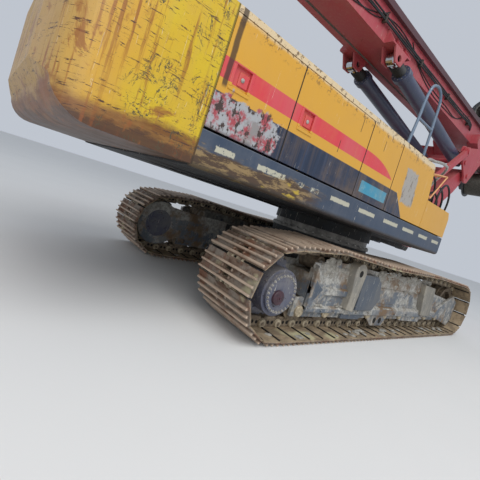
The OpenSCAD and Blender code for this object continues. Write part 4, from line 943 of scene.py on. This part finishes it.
# %% Hoses and clamps
random.seed(33)
mast_hoses = []
clamp_bm = bmesh.new()
for side, heights in ((-1, (4.405, 4.44, 4.475)), (1, (4.405, 4.445))):
    wall, y = side * (mast_half + 0.002), side * (mast_half + 0.046)
    for z in heights:
        mast_hoses.append([(-8.7, wall, z - 0.03), (-8.55, y, z)] + [
            (-8.0 + i * 0.7, y + random.uniform(-0.003, 0.003), z + random.uniform(-0.006, 0.006))
            for i in range(20)] + [(6.05, y, z), (6.2, wall, z - 0.02)])
    near, far = sorted((side * mast_half, y + side * 0.022))
    for i in range(11):
        x = -7.65 + i * 1.35
        add_box(clamp_bm, (x - 0.02, near, heights[0] - 0.03), (x + 0.02, far, heights[-1] + 0.03), 0.004)
        for z in (heights[0] - 0.016, heights[-1] + 0.016):
            add_bolt(clamp_bm, (x, y + side * 0.022, z), (0, side, 0), 0.012)
make_line("mast_hoses", mast_hoses, 0.0125, hose_rubber, "mast", 3)
mast_cables = [
    [(-1.9, 4.6), (-1.3, 4.52), (-0.6, 4.37), (0.2, 4.3), (1.0, 4.29), (1.6, 4.36), (1.95, 4.53), (2.7, 4.54),
     (3.4, 4.36), (4.6, 4.3), (5.4, 4.34), (5.6, 4.52)],
    [(-1.5, 4.6), (-0.9, 4.44), (0.1, 4.25), (0.8, 4.23), (1.3, 4.31), (1.75, 4.5), (1.9, 4.6)],
    [(2.75, 4.6), (3.0, 4.45), (3.7, 4.26), (4.7, 4.24), (5.2, 4.28), (5.9, 4.6)]]
make_line("mast_cables", [[(x, -mast_half - 0.008, z) for x, z in run] for run in mast_cables], 0.008,
          hose_rubber, "mast", 5)
make_piece("hose_clamps", clamp_bm, "mast", dark_iron)

box_high, tower_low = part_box("front_box")[1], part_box("boom_tower")[0]
loops = []
for i in range(7):
    y = -0.86 - 0.07 * i + random.uniform(-0.01, 0.01)
    lift = 0.3 + 0.09 * (i % 4) + random.uniform(-0.03, 0.03)
    start = Vector((box_high.x - 0.3 + 0.03 * i, y, box_high.z - 0.01))
    loops.append([start] + [start + Vector(step) for step in (
        (0.03, -0.01, lift * 0.7), (0.26, 0.0, lift), (0.58, 0.04, lift * 0.45))] + [
        (tower_low.x + 0.62, y * 0.82, 1.96 - 0.03 * i), (tower_low.x + 0.5 + 0.05 * i, -0.575, 1.66 - 0.035 * i)])
make_line("tower_hoses", loops, 0.016, hose_rubber, "upper", 6)
grey_tube = [
    (2.6, -1.17, box_high.z), (2.62, -1.18, 2.35), (2.73, -1.19, 2.6), (3.05, -1.19, 2.69), (3.43, -1.19, 2.75),
    (3.74, -1.1, 2.74), (3.87, -0.92, 2.55), (3.86, -0.72, 2.15), (3.84, -0.575, 1.94)]
make_line("grey_tube", [grey_tube], 0.022, bolt_steel, "upper", 8)

# %% [markdown]
# The access hoop is one bent tube with a cross tube and two foot discs, so it is a curve too. It stands for the frame's
# plain rails. The frame of an open flap is straight tube, made of rods.

# %% Access hoop, flap frame
rail_low, rail_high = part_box("handrails")
hoop_foot = Vector((rail_high.x - 0.02, middle("handrails").y, rail_low.z))
hoop_runs = [[(0.0, 0.0), (-0.02, 0.55), (-0.04, 0.82), (-0.12, 0.915), (-0.3, 0.915), (-0.38, 0.82), (-0.45, 0.4),
              (-0.52, 0.0)], [(-0.015, 0.42), (-0.445, 0.42)]]
hoop = make_line("access_hoop", [[hoop_foot + Vector((x, 0, z)) for x, z in run] for run in hoop_runs], 0.019,
                 rail_paint, "upper", 8)
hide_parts("handrails")
bm = bmesh.new()
for x in (0.0, -0.52):
    add_rods(bm, hoop_foot, ((x, 0, -0.002), (x, 0, 0.01), 0.05, 24, 0.05, 0.003))
    add_bolt_ring(bm, hoop_foot + Vector((x, 0, 0.01)), 0.036, 4, Z_AXIS, 0.012)
make_piece("hoop_feet", bm, "upper", rail_paint)

bm = bmesh.new()
flap = [Vector((x, -1.45, z)) for x, z in ((2.405, 2.34), (2.996, 2.453), (2.648, 2.04), (2.47, 2.07))]
across = Y_AXIS * 0.3
for a, b in zip(flap, flap[1:]):
    add_rod(bm, a, b, 0.011, 12)
    add_rod(bm, a + across, b + across, 0.011, 12)
for corner in flap[1:3]:
    add_rod(bm, corner, corner + across, 0.011, 12)
make_piece("flap_frame", bm, "upper", flap_orange)

# %% [markdown]
# The mast cylinders end in a bolted gland, and a dark bellows keeps stones off each rod. The gland rides on the barrel
# and the bellows on the rod, so that they part when the rod moves out.

# %% Glands and bellows of the mast cylinders
barrel_foot, rod_eye = Vector((slew_x + 3.55, 0, 3.54)), Vector((slew_x - 0.1, 0, 4.06))
along, full = (rod_eye - barrel_foot).normalized(), (rod_eye - barrel_foot).length
gland_end = full - 0.352
gland = [(0.138, full - 0.47), (0.156, full - 0.465), (0.156, full - 0.36), (0.15, gland_end), (0.086, gland_end)]
folds = [(0.092 + 0.012 * (i % 2), full - 0.335 + 0.012 * i) for i in range(19)]
folds = [(0.083, folds[0][1])] + folds + [(0.083, folds[-1][1])]
for name, body, material in (("glands", "mast_barrels", cylinder_paint), ("bellows", "mast_rods", hose_rubber)):
    bm = bmesh.new()
    for y in (-0.37, 0.37):
        start = barrel_foot + Vector((0, y, 0))
        if name == "glands":
            add_turned(bm, gland, start, along, 40)
            add_bolt_ring(bm, start + along * gland_end, 0.126, 12, along, 0.018, 1)
        else:
            add_turned(bm, folds, start, along, 32)
    make_piece(name, bm, body, material, bolt_steel)

# %% [markdown]
# Inside the cab, two consoles with joysticks stand beside the seat, with a screen, levers, pedals and armrests. Through
# glass only the outlines matter, so each is a bevelled box or rod.

# %% Cab interior
cab_low, cab_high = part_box("cab_shell")
seat_low, seat_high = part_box("cab_seat")
cab_floor, seat_y = cab_low.z + 0.07, middle("cab_seat").y
stick_foot = [(0.045, 0), (0.038, 0.02), (0.026, 0.03), (0.03, 0.045), (0.018, 0.06), (0.016, 0.08)]
stick_grip = [(0.0, 0.19), (0.018, 0.187), (0.026, 0.17), (0.024, 0.12), (0.018, 0.075), (0, 0.07)]
lever_knob = [(0, 0.03), (0.018, 0.024), (0.022, 0.0), (0.016, -0.02), (0, -0.024)]
bm = bmesh.new()
for side in (-1, 1):
    corner = Vector((seat_low.x, seat_y + side * 0.295, cab_floor))
    add_boxes(bm, corner, ((-0.02, -0.05, 0.3), (seat_high.x - seat_low.x - 0.02, 0.05, 0.5), 0.025),
              ((0.08, -0.035, 0.6), (0.36, 0.035, 0.65), 0.02))
    add_rods(bm, corner, ((0.12, 0, 0.48), (0.12, 0, 0.61), 0.016, 12))
    stick = Vector((seat_high.x - 0.09, corner.y, cab_floor + 0.49))
    add_turned(bm, stick_foot, stick, Z_AXIS, 20)
    add_turned(bm, stick_grip, stick, (0.1, 0, 1), 20)
post = Vector((cab_high.x - 0.42, cab_low.y + 0.14, cab_floor))
add_rods(bm, post, ((0, 0, 0), (0, 0, 0.62), 0.018, 14))
add_boxes(bm, post, ((-0.03, -0.02, 0.6), (0.015, 0.22, 0.8), 0.012),
          ((-0.034, 0.0, 0.62), (-0.029, 0.2, 0.78), 0.002, 1))
for y in (-0.07, 0.07):
    foot = Vector((cab_high.x - 0.38, seat_y + y, cab_floor))
    pedal = [(foot.x + x, foot.z + z) for x, z in ((-0.09, 0.01), (0.09, 0.09), (0.09, 0.1), (-0.09, 0.02))]
    add_plate(bm, pedal, foot.y - 0.055, foot.y + 0.055, 0.003, 2)
    add_rods(bm, foot, ((0, 0, 0), (-0.03, 0, 0.34), 0.009, 10, None, 0, 2))
    add_turned(bm, lever_knob, foot + Vector((-0.03, 0, 0.35)), Z_AXIS, 16)
make_piece("cab_controls", bm, "upper", console_plastic, screen_glass, bolt_steel)

# %% [markdown]
# Small fittings finish the upper body: lamps, a mirror, a grab rail, a wiper, handles, and the rims and locks of the
# right doors. A lamp is a turned housing with a lens let in, which a plain cylinder could not show.

# %% Fittings of the upper body
def add_lamp(bm, at, axis, radius=0.06):
    """A round work lamp on a short stalk, with index 0 for its housing and 1 for its lens."""
    at, axis = Vector(at), Vector(axis).normalized()
    housing = [(0, -0.07), (radius * 0.55, -0.065), (radius * 0.95, -0.02), (radius, 0.0), (radius, 0.012),
               (radius * 0.9, 0.014), (radius * 0.88, 0.004)]
    add_turned(bm, housing, at, axis, 24)
    add_turned(bm, [(radius * 0.88, 0.004), (radius * 0.5, 0.011), (0, 0.014)], at, axis, 24, 1)
    add_rods(bm, at - axis * 0.03, ((0, 0, -radius * 0.8), (0, 0, -radius - 0.05), 0.01, 10))


bm = bmesh.new()
for y in (cab_low.y + 0.22, cab_high.y - 0.24):
    add_lamp(bm, (cab_high.x - 0.36, y, cab_high.z + 0.105), (1, 0, -0.25))
for y in (-0.42, 0.42):
    add_lamp(bm, (tower_low.x + 0.1, y, 1.86), (1, 0, 0), 0.055)
add_lamp(bm, (-1.0, 1.1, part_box("housing_left")[1].z + 0.12), (-1, 0.2, -0.2), 0.055)
mirror = Vector((cab_high.x - 0.1, cab_high.y + 0.07, cab_low.z + 1.05))
add_rods(bm, mirror, ((-0.04, -0.09, 0.12), (0, 0, 0.12), 0.01, 10), ((0, 0, 0.13), (0, 0, -0.1), 0.01, 10))
add_boxes(bm, mirror, ((-0.005, -0.055, -0.12), (0.03, 0.055, 0.12), 0.014),
          ((-0.008, -0.045, -0.108), (-0.003, 0.045, 0.108), 0.001, 2))
add_rods(bm, Vector((cab_high.x - 0.08, cab_high.y, cab_low.z)),
         ((0, -0.014, 0.62), (0, 0.045, 0.62), 0.011, 10), ((0, -0.014, 1.1), (0, 0.045, 1.1), 0.011, 10),
         ((0, 0.04, 0.58), (0, 0.04, 1.14), 0.012, 12))
make_piece("lamps_and_mirror", bm, "upper", console_plastic, lens_glass, mirror_glass)

bm = bmesh.new()
add_rods(bm, Vector((cab_high.x - 0.02, seat_y + 0.05, cab_low.z + 0.61)),
         ((0, 0, 0), (0.035, 0, 0), 0.022, 14), ((0.03, 0, 0), (-0.045, -0.16, 0.51), 0.006, 8),
         ((0.006, -0.16, 0.21), (-0.07, -0.16, 0.71), 0.007, 6))
make_piece("wiper", bm, "upper", console_plastic)

door_low, door_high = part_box("cab_door")
handle = Vector((door_low.x + 0.12, door_high.y, cab_low.z + 0.58))
bm = bmesh.new()
add_boxes(bm, handle, ((-0.05, -0.006, -0.02), (0.1, 0.008, 0.03), 0.005))
add_rods(bm, handle, ((-0.03, 0, 0), (-0.03, 0.04, 0), 0.009, 10), ((-0.04, 0.036, 0), (0.09, 0.03, 0), 0.01, 12),
         ((-0.06, 0, 0.17), (-0.06, 0.04, 0.17), 0.009, 10), ((-0.06, 0, 0.57), (-0.06, 0.04, 0.57), 0.009, 10),
         ((-0.06, 0.036, 0.14), (-0.06, 0.036, 0.6), 0.01, 12))
make_piece("cab_door_handles", bm, "cab_door_leaf", console_plastic)

# Each right door has a raised rim round its latch recess, with a handle plate and a round lock inside
wide, tall, rim = 0.15, 0.16, 0.026
for name, node, body in (("rear_door_lock", "door_right_rear", "right_rear_door"),
                         ("front_door_lock", "door_right_front", "right_front_door")):
    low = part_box(node)[0]
    recess = Vector((low.x + 0.11, -outer_face(node), low.z + 0.333))
    bm = bmesh.new()
    for x0, z0, x1, z1 in ((-rim, -rim, wide + rim, 0), (-rim, tall, wide + rim, tall + rim), (-rim, 0, 0, tall),
                           (wide, 0, wide + rim, tall)):
        add_boxes(bm, recess, ((x0, -0.007, z0), (x1, 0.004, z1), 0.003, 1))
    add_boxes(bm, recess, ((0.052, 0.008, 0.03), (wide - 0.006, 0.018, tall - 0.03), 0.004, 1))
    add_rods(bm, recess + Vector((wide / 2 + 0.01, 0, tall / 2)), ((0, 0.018, 0), (0, 0, 0), 0.018, 18, 0.016, 0.002),
             ((0, 0.002, 0), (0, -0.002, 0), 0.006, 6))
    make_piece(name, bm, body, bolt_steel, panel_paint)
